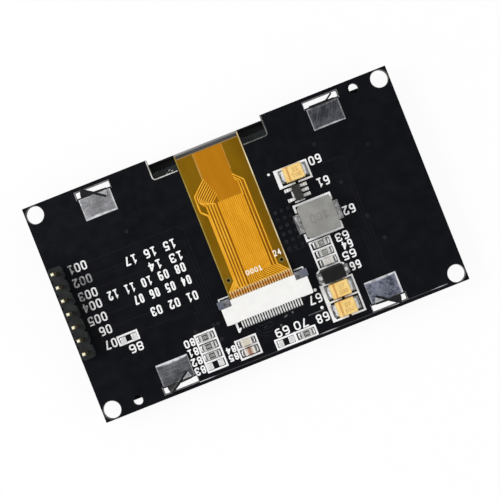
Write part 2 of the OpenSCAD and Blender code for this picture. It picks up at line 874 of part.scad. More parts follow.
module tantalum_leads() {
    color("#c8c9ca") for (at = tantalum_at)
        on_board(at) bent_leads(tantalum_l, tantalum_h, 0.75 * tantalum_w, 0.8);
}

module diode_body() {
    color("#26221f") on_board([column_x, diode_up]) translate([0, 0, lead_t])
        moulded(diode_l, diode_w, diode_h - lead_t);
}

module diode_leads() {
    color("#c8c9ca") on_board([column_x, diode_up])
        bent_leads(diode_l, diode_h, 0.55 * diode_w, 1.1);
}

regulator_leads_at = [
    [-1, -regulator_pitch], [-1, regulator_pitch],
    [1, -regulator_pitch], [1, 0], [1, regulator_pitch]
];
regulator_lift = 0.1;
regulator_lead_w = 0.4;

module regulator_body() {
    color("#2b2b2e") on_board([regulator_x, regulator_up]) translate([0, 0, regulator_lift])
        moulded(regulator_w, regulator_l, regulator_h - regulator_lift);
}

// Lead with a gull-wing bend: out of the parting line, down and out to its foot
module regulator_leads() {
    out = regulator_w / 2;
    middle = (regulator_lift + regulator_h) / 2;
    shoulder = out + 0.12;
    heel = shoulder + 0.08;
    toe = out + 0.65;
    color("#cdcecf") on_board([regulator_x, regulator_up])
        for (place = regulator_leads_at)
            translate([0, place.y, 0]) mirror([place.x < 0 ? 1 : 0, 0, 0])
                across_y(regulator_lead_w) polygon([
                    [out, middle - lead_t / 2],
                    [shoulder, middle - lead_t / 2],
                    [heel, 0],
                    [toe, 0],
                    [toe, lead_t],
                    [heel + 0.8 * lead_t, lead_t],
                    [shoulder + 0.85 * lead_t, middle + lead_t / 2],
                    [out, middle + lead_t / 2]
                ]);
}

// Coil

module coil_plate() {
    difference() {
        slab(coil_l, coil_w, plate_h);
        for (x = [-1, 1], y = [-1, 1])
            translate([x * coil_l / 2, y * coil_w / 2, -cut]) rotate([0, 0, 45])
                slab(coil_cut * sqrt(2), coil_cut * sqrt(2), plate_h + 2 * cut);
    }
}

module coil_core() {
    color("#969490") on_board([coil_x, coil_up]) translate([0, 0, lead_t]) {
        coil_plate();
        cylinder(d = post_d, h = coil_h - lead_t);
        translate([0, 0, coil_h - lead_t - plate_h]) coil_plate();
    }
}

module coil_winding() {
    room = coil_h - lead_t - 2 * plate_h;
    rings = floor(room / wire_d);
    outer = post_d / 2 + wire_layers * wire_d;
    color("#b06a35") on_board([coil_x, coil_up]) translate([0, 0, lead_t + plate_h])
        rotate_extrude() {
            translate([post_d / 2, 0]) square([outer - post_d / 2, room]);
            for (k = [0 : rings - 1])
                translate([outer, (k + 0.5) * room / rings]) circle(r = room / rings / 2);
        }
}

module coil_terminals() {
    end = coil_l / 2;
    fillet = 0.1;
    color("#c8c9ca") on_board([coil_x, coil_up])
        for (s = [0, 1]) mirror([s, 0, 0]) across_y(terminal_w) polygon([
            [end - terminal_under, 0],
            [end + terminal_out, 0],
            [end + terminal_out, lead_t],
            [end + lead_t, lead_t + fillet],
            [end + lead_t, lead_t + plate_h],
            [end, lead_t + plate_h],
            [end, lead_t],
            [end - terminal_under, lead_t]
        ]);
}

bezel();
polarizer();
front_glass();
pixel_layer();
cover_glass();
drying_sheet();
driver_chip();
foam_tape();
pcb();
lands();
flex_cable();
flex_stiffener();
connector_housing();
connector_contacts();
connector_lock();
header_body();
header_pins();
header_solder();
resistor(0);  // resistor_1
resistor(1);  // resistor_2
resistor(2);  // resistor_3
resistor(3);  // resistor_4
resistor(4);  // resistor_5
resistor(5);  // resistor_6
ceramic_cap(0, "#d8d2c4");  // ceramic_cap_1
ceramic_cap(1, "#d8cdb8");  // ceramic_cap_2
ceramic_cap(2, "#9a6a4a");  // ceramic_cap_3
tantalum_cap(0);  // tantalum_cap_1
tantalum_cap(1);  // tantalum_cap_2
tantalum_cap(2);  // tantalum_cap_3
tantalum_leads();
coil_core();
coil_winding();
coil_terminals();
diode_body();
diode_leads();
regulator_body();
regulator_leads();
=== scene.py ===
import math

import bpy
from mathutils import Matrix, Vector, noise


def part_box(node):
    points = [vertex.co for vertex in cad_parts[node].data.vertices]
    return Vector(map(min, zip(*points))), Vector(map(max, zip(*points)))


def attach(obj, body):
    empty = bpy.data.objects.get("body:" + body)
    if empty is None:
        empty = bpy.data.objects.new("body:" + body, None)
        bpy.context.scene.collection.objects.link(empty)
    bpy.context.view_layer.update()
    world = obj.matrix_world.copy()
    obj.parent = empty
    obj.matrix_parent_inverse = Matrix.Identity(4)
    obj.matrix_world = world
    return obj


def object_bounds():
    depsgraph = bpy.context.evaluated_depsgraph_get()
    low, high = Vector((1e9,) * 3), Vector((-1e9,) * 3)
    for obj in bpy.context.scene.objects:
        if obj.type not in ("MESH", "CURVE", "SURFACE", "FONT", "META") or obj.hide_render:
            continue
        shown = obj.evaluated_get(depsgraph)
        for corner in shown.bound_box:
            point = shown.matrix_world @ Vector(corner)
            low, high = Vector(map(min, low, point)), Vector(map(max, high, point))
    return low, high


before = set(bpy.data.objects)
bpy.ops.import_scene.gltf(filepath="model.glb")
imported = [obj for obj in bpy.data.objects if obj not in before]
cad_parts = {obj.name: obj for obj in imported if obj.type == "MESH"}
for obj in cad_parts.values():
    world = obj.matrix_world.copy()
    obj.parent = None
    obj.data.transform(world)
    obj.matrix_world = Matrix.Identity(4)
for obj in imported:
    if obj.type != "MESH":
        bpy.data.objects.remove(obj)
cad_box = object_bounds()

# Shapes are drawn in millimetres in the frame's axes: X along the board, Y to the cable's edge
MM = 0.001


def box_mm(node):
    """Lowest and highest corner of a CAD node, in millimetres."""
    low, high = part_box(node)
    return Vector(low) / MM, Vector(high) / MM


def top_of(node):
    """The middle of a CAD node in X and Y, and the height of its top."""
    low, high = box_mm(node)
    return (low.x + high.x) / 2, (low.y + high.y) / 2, high.z


BOARD_LOW, BOARD_HIGH = box_mm("pcb")
BOARD_TOP = BOARD_HIGH.z
LAND_TOP = box_mm("lands")[1].z
CABLE_LOW, CABLE_HIGH = box_mm("flex_cable")
HEADER_HIGH = box_mm("header_body")[1]
HOUSING_LOW, HOUSING_HIGH = box_mm("connector_housing")
HOUSING_X = (HOUSING_LOW.x + HOUSING_HIGH.x) / 2
PIN_X, _, PIN_TIP_Z = top_of("header_pins")
PIN_N = 7
PIN_PITCH = 2.54

# The cable's upper face: flat on the board, then climbing to the connector
CABLE_T = 0.1
CABLE_X = (CABLE_LOW.x + CABLE_HIGH.x) / 2
CABLE_TOP = BOARD_TOP + CABLE_T
BEND_R = (CABLE_TOP - CABLE_LOW.z) / 2
BEND_Y = CABLE_HIGH.y - BEND_R
CLIMB_END_Y = box_mm("flex_stiffener")[1].y
CLIMB_START_Y = CLIMB_END_Y + 4.0
FILM_END_Y = -7.1
MOUTH_Y = HOUSING_HIGH.y
CONTACT_N = 24
CONTACT_PITCH = 0.5

# Cuts in the board: the holes in its corners, the notch, and the tabs' slots with pads beside them
CORNER_IN = 1.85
NOTCH_L = 22.3
NOTCH_FLOOR = 17.2
NOTCH_R = 0.5
SLOT_L, SLOT_W = 6.6, 1.4
SLOT_IN_Y = 18.75
TAB_X_TOP, TAB_X_LOW = 22.4, 20.5
PAD_L, PAD_W = 6.2, 4.15

# Lower and upper height of what is printed or etched, above the face that carries it
INK = (0.002, 0.022)
BURIED = (0.001, 0.012)
EDGE = (0.001, 0.03)

# Each further stroke that crosses others lies a little higher, so that no two faces coincide
LIFT = 0.004


# Meshes


def add_object(name, data):
    """Puts a new object in the scene."""
    obj = bpy.data.objects.new(name, data)
    bpy.context.scene.collection.objects.link(obj)
    return obj


class Shape:
    """Vertices and faces of one piece, in millimetres."""

    def __init__(self):
        self.verts = []
        self.faces = []

    def loft(self, sections, closed=False):
        """Joins sections of equally many points with quads, and closes both ends."""
        base, n = len(self.verts), len(sections[0])
        for section in sections:
            self.verts.extend(tuple(p) for p in section)
        rows = len(sections)
        for i in range(rows if closed else rows - 1):
            a, b = base + i * n, base + (i + 1) % rows * n
            for k in range(n):
                m = (k + 1) % n
                self.faces.append((a + k, a + m, b + m, b + k))
        if not closed:
            self.faces.append(tuple(base + k for k in reversed(range(n))))
            last = base + (rows - 1) * n
            self.faces.append(tuple(last + k for k in range(n)))

    def sheet(self, columns, rows, place, thickness):
        """A bumpy plate: place(u, v) gives its upper face. Its lower face is flat and lies this
        thickness under the upper face's lowest point."""
        base = len(self.verts)
        top = [[place(i / columns, j / rows) for i in range(columns + 1)] for j in range(rows + 1)]
        floor_z = min(p[2] for row in top for p in row) - thickness
        for row in top:
            self.verts.extend(row)
        stride = columns + 1
        for j in range(rows):
            for i in range(columns):
                a = base + j * stride + i
                self.faces.append((a, a + 1, a + 1 + stride, a + stride))
        rim = [(i, 0) for i in range(columns)] + [(columns, j) for j in range(rows)]
        rim += [(i, rows) for i in range(columns, 0, -1)] + [(0, j) for j in range(rows, 0, -1)]
        lower = len(self.verts)
        for i, j in rim:
            x, y, _ = top[j][i]
            self.verts.append((x, y, floor_z))
        n = len(rim)
        for k, (i, j) in enumerate(rim):
            i2, j2 = rim[(k + 1) % n]
            a, b = base + j * stride + i, base + j2 * stride + i2
            self.faces.append((a, lower + k, lower + (k + 1) % n, b))
        self.faces.append(tuple(lower + k for k in reversed(range(n))))

    def piece(self, name, material, slot=None, body="module", smooth=False):
        """Makes the object, in metres, riding on a CAD body."""
        mesh = bpy.data.meshes.new(name)
        mesh.from_pydata([tuple(c * MM for c in v) for v in self.verts], [], self.faces)
        mesh.materials.append(material)
        for polygon in mesh.polygons:
            polygon.use_smooth = smooth
        mesh.update()
        obj = add_object(name, mesh)
        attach(obj, body)


def rounded(path, radius, steps=4, closed=False):
    """The path with each corner replaced by a short curve, and no point twice in a row."""
    n = len(path)
    result = []
    for i, point in enumerate(path):
        if radius == 0 or (not closed and i in (0, n - 1)):
            result.append(point)
            continue
        corner = Vector(point)
        before, after = Vector(path[i - 1]) - corner, Vector(path[(i + 1) % n]) - corner
        reach = min(radius, before.length / 2, after.length / 2)
        start, end = corner + before.normalized() * reach, corner + after.normalized() * reach
        for k in range(steps + 1):
            t = k / steps
            result.append(tuple(start * (1 - t) ** 2 + corner * 2 * t * (1 - t) + end * t * t))
    return [p for i, p in enumerate(result)
            if math.dist(p, result[i - 1]) > 1e-4 or (i == 0 and not closed)]


def stations(path):
    """The path with a point wherever the cable under it starts or ends a slope or a bend."""
    breaks = [CLIMB_END_Y, CLIMB_START_Y] + [BEND_Y + 0.2 * k for k in range(10)]
    result = [path[0]]
    for a, b in zip(path, path[1:]):
        shares = sorted((y - a[1]) / (b[1] - a[1]) for y in breaks if (y - a[1]) * (y - b[1]) < 0)
        result += [tuple(Vector(a).lerp(Vector(b), t)) for t in shares] + [b]
    return result


def level(z):
    """Places a point h above the flat face at this height."""
    return lambda u, v, h: (u, v, z + h)


on_board = level(BOARD_TOP)


def under_board(u, v, h):
    """Places a point h below the board's lower face."""
    return (u, v, BOARD_LOW.z - h)


def on_cable(u, v, h):
    """Places a point h above the cable's upper face, also round its bend."""
    if v > BEND_Y:
        angle = (v - BEND_Y) / BEND_R
        out = BEND_R + h
        return (u, BEND_Y + out * math.sin(angle), CABLE_TOP - BEND_R + out * math.cos(angle))
    climbed = min(1, max(0, (CLIMB_START_Y - v) / (CLIMB_START_Y - CLIMB_END_Y)))
    return (u, v, CABLE_TOP + climbed * (CABLE_HIGH.z - CABLE_TOP) + h)


def band(shape, path, width, heights=INK, place=on_board, closed=False, round_ends=True):
    """A flat line along a path, mitred at its corners."""
    points = [Vector(p) for p in path]
    n = len(points)
    sections = []
    for i, point in enumerate(points):
        one = (point - points[i - 1]).normalized() if closed or i else None
        two = (points[(i + 1) % n] - point).normalized() if closed or i < n - 1 else None
        one, two = one or two, two or one
        along = (one + two).normalized()
        sections.append((point, along, width / 2 / max(0.5, along.dot(one))))
    if not closed and round_ends:
        turns = [math.radians(a) for a in (80, 55, 28)]
        half = width / 2
        (first, out, _), (last, on, _) = sections[0], sections[-1]
        start = [(first - out * half * math.sin(a), out, half * math.cos(a)) for a in turns]
        end = [(last + on * half * math.sin(a), on, half * math.cos(a)) for a in reversed(turns)]
        sections = start + sections + end
    low, high = heights
    rings = []
    for point, along, half in sections:
        side = Vector((-along.y, along.x)) * half
        left, right = point + side, point - side
        rings.append([place(left.x, left.y, low), place(left.x, left.y, high),
                      place(right.x, right.y, high), place(right.x, right.y, low)])
    shape.loft(rings, closed)


def line(shape, path, width, heights=INK, lifted=0, radius=0.0, round_ends=True):
    """An open printed line, lifted by whole steps where it crosses others."""
    low, high = heights
    band(shape, rounded(path, radius), width, (low, high + lifted * LIFT), round_ends=round_ends)


def outline(shape, x0, y0, x1, y1):
    """A printed frame, its middle line at the sizes given."""
    band(shape, [(x0, y0), (x1, y0), (x1, y1), (x0, y1)], PRINT_W, closed=True)


def disc(shape, x, y, radius, heights=INK, place=on_board, hole=0.0, sides=20):
    """A flat disc, or a ring if it has a hole."""
    reach = (radius + hole) / 2 if hole else radius
    turns = [2 * math.pi * k / sides for k in range(sides)]
    rim = [(x + reach * math.cos(a), y + reach * math.sin(a)) for a in turns]
    if hole:
        band(shape, rim, radius - hole, heights, place, closed=True)
    else:
        shape.loft([[place(u, v, h) for u, v in rim] for h in heights])


# Strokes of the digits in a cell of 1 by 1: corner radius, whether the stroke is closed, its points
DIGITS = {
    "0": [(0.5, True, [(0, 0), (0, 1), (1, 1), (1, 0)])],
    "1": [(0, False, [(0.15, 0.78), (0.52, 1), (0.52, 0)]), (0, False, [(0.12, 0), (0.92, 0)])],
    "2": [(0.45, False, [(0, 0.74), (0, 1), (1, 1), (1, 0.55), (0.02, 0.02)]),
          (0, False, [(0, 0), (1, 0)])],
    "3": [(0.45, False, [(0, 0.8), (0.05, 1), (1, 1), (0.95, 0.54), (0.35, 0.54)]),
          (0.45, False, [(0.35, 0.54), (1, 0.54), (1, 0), (0, 0), (0, 0.2)])],
    "4": [(0, False, [(0.75, 0), (0.75, 1)]), (0, False, [(0.72, 1), (0, 0.32)]),
          (0, False, [(0, 0.3), (1, 0.3)])],
    "5": [(0, False, [(0.95, 1), (0.08, 1), (0.05, 0.6)]),
          (0.5, False, [(0.05, 0.6), (1, 0.64), (1, 0), (0, 0), (0, 0.18)])],
    "6": [(0.5, True, [(0, 0), (1, 0), (1, 0.58), (0, 0.58)]),
          (0.5, False, [(0, 0.35), (0, 1), (0.8, 1)])],
    "7": [(0, False, [(0, 1), (0.95, 1)]), (0, False, [(0.95, 1), (0.35, 0)])],
    "8": [(0.45, True, [(0.05, 0.52), (0.05, 1), (0.95, 1), (0.95, 0.52)]),
          (0.5, True, [(0, 0), (0, 0.52), (1, 0.52), (1, 0)])],
    "9": [(0.5, True, [(1, 1), (0, 1), (0, 0.42), (1, 0.42)]),
          (0.5, False, [(1, 0.65), (1, 0), (0.2, 0)])],
}


def number(shape, text, x, y, height=1.72, pitch=1.28, weight=0.3, heights=INK, place=on_board, way=-1):
    """A plain number centred on (x, y). A way of -1 turns it round, 1 leaves it upright."""
    tall, wide = height - weight, pitch - weight - 0.16 * height
    low, high = heights
    for i, sign in enumerate(text):
        left = (i - (len(text) - 1) / 2) * pitch - wide / 2
        for k, (radius, closed, points) in enumerate(DIGITS.get(sign, [])):
            cell = [(x + way * (left + u * wide), y + way * (v - 0.5) * tall) for u, v in points]
            path = rounded(cell, radius * wide, closed=closed)
            band(shape, path, weight, (low, high + k * LIFT), place, closed)


# Materials


def srgb(red, green, blue):
    """A colour given as 0 to 255 in sRGB, as Blender's linear colour."""
    channels = [c / 255 for c in (red, green, blue)]
    return tuple(c / 12.92 if c <= 0.04045 else ((c + 0.055) / 1.055) ** 2.4 for c in channels) + (1.0,)


class Finish:
    """A material being built: a principled shader, and the nodes that feed it."""

    def __init__(self, name, gloss=None, grain=None, **values):
        self.material = bpy.data.materials.new(name)
        self.material.use_nodes = True
        self.tree = self.material.node_tree
        self.shader = self.tree.nodes["Principled BSDF"]
        self.coordinates = self.tree.nodes.new("ShaderNodeTexCoord")
        for key, value in values.items():
            self.set(key.replace("_", " ").title().replace("Ior", "IOR"), value)
        if gloss:
            self.set("Roughness", self.cloud(*gloss))
        if grain:
            scale, distance, strength = grain
            self.bump(self.noise(scale, 6), distance, strength)

    def set(self, socket, value):
        """Sets a socket of the shader to a value, or links it to another node's output."""
        self.feed(self.shader.inputs[socket], value)

    def feed(self, socket, value):
        if isinstance(value, bpy.types.NodeSocket):
            self.tree.links.new(value, socket)
        elif value is not None:
            socket.default_value = value

    def node(self, kind, inputs, output=0, **properties):
        """Adds a node, sets its properties and inputs, and returns one of its outputs."""
        made = self.tree.nodes.new("ShaderNode" + kind)
        for key, value in properties.items():
            setattr(made, key, value)
        for key, value in inputs.items():
            self.feed(made.inputs[key], value)
        return made.outputs[output]

    def place(self, stretch=(1, 1, 1), turn=0.0):
        """The point on the piece in millimetres, turned about Z by an angle in degrees, then stretched."""
        point = self.coordinates.outputs["Object"]
        if turn:
            point = self.node("Mapping", {0: point, "Rotation": (0, 0, math.radians(turn))})
        return self.node("Mapping", {0: point, "Scale": [1 / MM / s for s in stretch]})

    def at(self, axis):
        """Where the point lies along X, Y or Z, in millimetres."""
        return self.axis(self.place(), axis)

    def share(self, axis):
        """Where the point lies along X, Y or Z of the piece's own box, from 0 to 1."""
        return self.axis(self.coordinates.outputs["Generated"], axis)

    def axis(self, vector, name):
        return self.node("SeparateXYZ", {0: vector}, "XYZ".index(name))

    def noise(self, scale, detail=4.0, roughness=0.55, stretch=(1, 1, 1), turn=0.0, distortion=0.0):
        """Noise from 0 to 1 with about this many features per millimetre."""
        return self.node("TexNoise", {
            "Vector": self.place(stretch, turn), "Scale": scale, "Detail": detail,
            "Roughness": roughness, "Distortion": distortion,
        })

    def span(self, value, low, high, out_low=0.0, out_high=1.0):
        """The value taken from one range to another, smoothly and clamped."""
        return self.node("MapRange", {0: value, 1: low, 2: high, 3: out_low, 4: out_high},
                         interpolation_type="SMOOTHSTEP")

    def cloud(self, scale, low=0.0, high=1.0, **details):
        """Noise spread over the whole range from low to high."""
        return self.span(self.noise(scale, **details), 0.3, 0.7, low, high)

    def math(self, operation, a, b=None):
        return self.node("Math", {0: a, 1: b}, operation=operation)

    def most(self, *values):
        """The largest of several values."""
        result = values[0]
        for value in values[1:]:
            result = self.math("MAXIMUM", result, value)
        return result

    def both(self, a, b):
        return self.math("MULTIPLY", a, b)

    def less(self, a, b):
        return self.math("SUBTRACT", a, b)

    def size(self, value):
        """The value without its sign."""
        return self.math("ABSOLUTE", value)

    def mix(self, factor, a, b):
        """Mixes two colours, each given as 0 to 255 or as an output."""
        a, b = [c if isinstance(c, bpy.types.NodeSocket) else srgb(*c) for c in (a, b)]
        return self.node("Mix", {0: factor, 6: a, 7: b}, 2, data_type="RGBA")

    def between(self, value, low, high, soft=0.01):
        """1 between two values, 0 outside them."""
        rise = self.span(value, low - soft, low + soft)
        return self.both(rise, self.span(value, high + soft, high - soft))

    def bump(self, height, distance, strength):
        """Roughens the surface by a height map, with its depth in millimetres."""
        inputs = {"Height": height, "Distance": distance * MM, "Strength": strength}
        self.set("Normal", self.node("Bump", inputs))

    def coloured(self, factor, a, b):
        """The material, with its surface in a mix of two colours."""
        self.set("Base Color", self.mix(factor, a, b))
        return self.material


def solder_mask():
    """Black lacquer on the board's faces, layered laminate on its edges and in its holes."""
    f = Finish("solder_mask", specular_ior_level=0.2)
    fine = f.noise(9, 5)
    lacquer = f.mix(f.both(f.cloud(0.12), fine), (5, 6, 12), (13, 14, 20))
    layers = f.math("ADD", f.noise(4.5, 2, stretch=(30, 30, 0.3)), f.cloud(6, -0.1, 0.1))
    laminate = f.mix(f.span(layers, 0.3, 0.7), (74, 75, 62), (104, 104, 86))
    face = f.span(f.size(f.axis(f.coordinates.outputs["Normal"], "Z")), 0.6, 0.9)
    gloss = f.math("ADD", f.cloud(0.5, 0.28, 0.4, detail=6), f.span(face, 0, 1, 0.3, 0.0))
    f.set("Roughness", gloss)
    f.bump(f.math("ADD", f.noise(2.2, 2), f.both(fine, 0.2)), 0.006, 0.5)
    return f.coloured(face, laminate, lacquer)


def plain(name, dark, light, clouds, gloss, grain, **values):
    """An even finish: two tones in clouds, uneven gloss and a fine grain."""
    f = Finish(name, gloss, grain, **values)
    return f.coloured(f.cloud(**clouds), dark, light)


def tented_copper(name, dark, light):
    """Copper under the black lacquer: a shade lighter and a little raised."""
    return plain(name, dark, light, {"scale": 0.8}, (2, 0.26, 0.4), (5, 0.004, 0.4), specular_ior_level=0.25)


def pale_edge(name, dark, light):
    """The milled rim of laminate, or bared copper."""
    return plain(name, dark, light, {"scale": 0.7, "detail": 6}, None, (12, 0.01, 1.0), roughness=0.55)


def film_copper(name, dark, light, scale=1.2, stretch=(1, 5, 1)):
    """Copper seen through the amber film."""
    clouds = {"scale": scale, "detail": 5, "stretch": stretch}
    return plain(name, dark, light, clouds, (2.5, 0.26, 0.4), (6, 0.003, 0.5), specular_ior_level=0.14)


def moulded_plastic(name, dark, light, rough, grain_scale=14, depth=0.008, **values):
    """Moulded plastic: an even colour with faint flow marks and a fine grain."""
    gloss = (2.5, rough - 0.06, rough + 0.06)
    return plain(name, dark, light, {"scale": 0.6, "detail": 5}, gloss, (grain_scale, depth, 0.7), **values)


def enamelled_wire():
    clouds = {"scale": 1.5, "stretch": (1, 1, 0.2)}
    return plain("enamelled_wire", (150, 74, 34), (204, 118, 66), clouds, None, (3, 0.02, 0.4),
                 metallic=0.8, coat_weight=0.6, coat_roughness=0.15, roughness=0.3)


def panel_glass():
    return plain("panel_glass", (96, 106, 106), (124, 134, 134), {"scale": 0.5}, (2, 0.04, 0.12),
                 (3, 0.002, 0.3), transmission_weight=0.85, ior=1.52)


def ground_rim():
    """The edge of the ground area, with painted highlights at four spots along the board."""
    f = Finish("ground_edge", grain=(12, 0.01, 1.0), roughness=0.55)
    x = f.at("X")
    places = ((7.2, 9.4), (20.8, 22.6), (29.2, 31.0))
    # Painted highlights: near-white where lit, dark grey elsewhere
    lit = f.most(f.span(x, -13.5, -15.5), *[f.between(x, a, b, 1.2) for a, b in places])
    return f.coloured(f.both(lit, f.cloud(0.7, 0.7, 1.0, detail=6)), (48, 48, 52), (214, 214, 216))


def ink():
    """White print with slightly uneven cover."""
    f = Finish("white_ink", grain=(16, 0.004, 0.5), roughness=0.5, specular_ior_level=0.25)
    return f.coloured(f.span(f.noise(7, 6, 0.7), 0.25, 0.5), (226, 226, 228), (252, 252, 252))


def header_shadow_ink():
    """White print with a painted shadow of the header: darker beside the header, and along the second pin's
    number.
    """
    f = Finish("header_shadow_ink", grain=(16, 0.004, 0.5), roughness=0.5, specular_ior_level=0.2)
    x, y = f.at("X"), f.at("Y")
    # Painted shadow of the header on the pin numbers
    painted_header_shadow = f.both(f.span(x, -29.4, -31.6), f.span(y, -4.0, -1.0))
    painted_header_shadow = f.most(painted_header_shadow, f.between(y, 3.6, 6.0, 0.4))
    return f.coloured(f.both(painted_header_shadow, f.cloud(1.2, 0.45, 0.85)), (246, 246, 246), (34, 34, 36))


def tin(name, dark, light, rough=(0.22, 0.4), scale=1.6, metallic=1.0):
    """Set solder or tin plate."""
    f = Finish(name, (scale * 2.3, *rough), metallic=metallic)
    cloud = f.noise(scale, 6, 0.6, distortion=0.6)
    f.bump(f.math("ADD", cloud, f.both(f.noise(scale * 9, 3), 0.25)), 0.03, 0.5)
    return f.coloured(f.span(cloud, 0.3, 0.7), dark, light)


def pad_solder(name, dark, light, grain, stretch, turn, rim):
    """Solder on a tab's pad: streaked from wiping or mottled, with a painted highlight along its rim. The rim
    highlight's width, as a share of the pad, and its strength are given for the left, right, lower and upper
    edge."""
    f = Finish(name, (0.8, 0.3, 0.46))
    x, y = f.share("X"), f.share("Y")
    aside = f.size(f.less(x, 0.5))
    bow = f.less(1.0, f.both(f.both(aside, aside), 2.0))
    inward = [x, f.less(1.0, x)] + [f.math("DIVIDE", depth, bow) for depth in (y, f.less(1.0, y))]
    # Painted highlight: a near-white band along the rim, less metallic than the rest
    edges = f.most(*[f.span(depth, wide, wide * 0.4, 0.0, strength)
                     for depth, (wide, strength) in zip(inward, rim) if strength])
    edges = f.both(edges, f.cloud(1.2, 0.4, 1.0, detail=5))
    streaks = f.noise(grain, 7, 0.65, stretch, turn, 0.4)
    tone = f.mix(f.span(f.math("ADD", streaks, f.cloud(0.5, -0.12, 0.12)), 0.36, 0.64), dark, light)
    f.set("Metallic", f.span(edges, 0.0, 1.0, 0.65, 0.1))
    f.bump(streaks, 0.03, 0.6)
    return f.coloured(edges, tone, (232, 232, 234))


def polyimide():
    """Amber film. Its bend is painted grey: painted shade over most of the bend, and a painted sheen towards
    its outer edge.
    """
    f = Finish("polyimide_film", (0.7, 0.22, 0.34), specular_ior_level=0.15)
    y = f.at("Y")
    flat = f.mix(f.cloud(0.25, stretch=(1, 3, 1)), (116, 83, 1), (132, 96, 4))
    waves = f.cloud(0.8, stretch=(6, 0.6, 1))
    # Painted shade, then a painted sheen, on the bend in place of the amber
    dark = f.mix(waves, (54, 53, 54), (74, 73, 72))
    sheen = f.mix(waves, (114, 114, 115), (146, 146, 146))
    bend_painted_light = f.mix(f.span(y, BEND_Y + 0.95, BEND_Y + 1.3), dark, sheen)
    crease = f.mix(f.between(y, BEND_Y + 0.32, BEND_Y + 0.5, 0.06), bend_painted_light, (160, 126, 78))
    f.bump(f.noise(0.35, 3, stretch=(1, 2, 1)), 0.03, 0.4)
    return f.coloured(f.span(y, BEND_Y + 0.28, BEND_Y + 0.42), flat, crease)


def finger_copper():
    """Bare fingers: pale where the film ends, coppery in the middle."""
    f = Finish("bare_fingers", (3, 0.25, 0.4), (9, 0.006, 0.6), specular_ior_level=0.3, metallic=0.2)
    middle = f.between(f.at("Y"), MOUTH_Y + 0.25, FILM_END_Y - 0.4, 0.2)
    return f.coloured(f.both(middle, f.cloud(2.2, 0.5, 1.0)), (240, 204, 140), (220, 138, 44))


def gold_pin():
    """Pale gold plate, drawn lengthwise, with a painted highlight on the cut point."""
    f = Finish("pale_gold", grain=(8, 0.006, 0.5))
    # Painted highlight: the cut point is near-white and not metallic
    point = f.span(f.at("Z"), PIN_TIP_Z - 0.5, PIN_TIP_Z - 0.1)
    plate = f.mix(f.cloud(2, stretch=(1, 1, 6)), (150, 134, 92), (190, 172, 120))
    f.set("Metallic", f.span(point, 0.0, 1.0, 1.0, 0.0))
    f.set("Roughness", f.cloud(5, 0.2, 0.34, stretch=(1, 1, 8)))
    return f.coloured(point, plate, (255, 250, 214))


def chip(name, body_finish, dark_plate, light_plate, metallic):
    """A chip with plated ends: body_finish gives the colour between them."""
    f = Finish(name, grain=(10, 0.02, 0.5))
    x = f.share("X")
    ends = f.less(1.0, f.between(x, 0.2, 0.8, 0.012))
    f.set("Metallic", f.both(ends, metallic))
    f.set("Roughness", f.math("ADD", f.span(ends, 0, 1, 0.42, 0.26), f.cloud(6, -0.05, 0.05)))
    return f.coloured(ends, body_finish(f, x), f.mix(f.cloud(5), dark_plate, light_plate))


def glazed_body(dark, light):
    """White ceramic with a glaze on top that stops short of the long edges."""
    def body(f, x):
        glazed = f.both(f.span(f.share("Z"), 0.9, 0.95), f.between(f.share("Y"), 0.09, 0.91, 0.02))
        glazed = f.both(glazed, f.between(x, 0.22, 0.78, 0.012))
        ceramic = f.mix(f.cloud(9), (214, 212, 204), (236, 234, 228))
        return f.mix(glazed, ceramic, f.mix(f.cloud(4, detail=5), dark, light))
    return body


def pale_body(f, x):
    return f.mix(f.cloud(3, detail=6), (202, 193, 172), (222, 214, 196))


def white_body(f, x):
    return f.mix(f.cloud(3, detail=6), (206, 202, 198), (222, 218, 214))


def brown_body(f, x):
    """A brown capacitor whose ceramic pales towards its ends."""
    pale = f.mix(f.cloud(6), (206, 186, 170), (226, 212, 200))
    brown = f.mix(f.cloud(5), (140, 98, 74), (172, 130, 104))
    return f.mix(f.between(x, 0.34, 0.68, 0.09), pale, brown)


def tantalum_mould():
    """Yellow moulding with the printed stripe that marks its positive end."""
    f = Finish("tantalum_mould", (3, 0.42, 0.56), (15, 0.02, 0.7), specular_ior_level=0.3)
    stripe = f.both(f.between(f.share("X"), 0.17, 0.27, 0.015), f.span(f.share("Z"), 0.9, 0.98))
    stripe = f.both(stripe, f.cloud(3, 0.6, 1.0))
    yellow = f.mix(f.cloud(1.2, detail=6), (240, 200, 117), (252, 219, 142))
    return f.coloured(stripe, yellow, (206, 142, 68))


def diode_lead():
    """Dull leads, with a painted highlight in the middle of their bend."""
    f = Finish("diode_lead", (3, 0.3, 0.42), (6, 0.02, 0.5), metallic=0.5)
    # Painted highlight in the middle of the bend
    middle = f.both(f.between(f.share("Y"), 0.3, 0.72, 0.1), f.cloud(2.5, 0.6, 1.0))
    return f.coloured(middle, f.mix(f.cloud(3), (66, 66, 67), (128, 128, 129)), (250, 250, 247))


def climb(f, start, end, scale, least):
    """1 where solder has climbed high above its land, unevenly."""
    return f.both(f.span(f.at("Z"), LAND_TOP + start, LAND_TOP + end), f.cloud(scale, least, 1.0))


def chip_joint_solder():
    """Solder that is bright at its foot, with a painted reflection of the dark board where it climbs to the
    chip.
    """
    f = Finish("chip_joint_solder", (3, 0.24, 0.36), (8, 0.02, 0.4), metallic=0.4)
    foot = f.mix(f.cloud(2.2), (228, 228, 227), (253, 253, 251))
    # Painted reflection of the dark board: near-black where the solder climbs
    return f.coloured(climb(f, 0.05, 0.11, 2.5, 0.7), foot, (26, 26, 28))


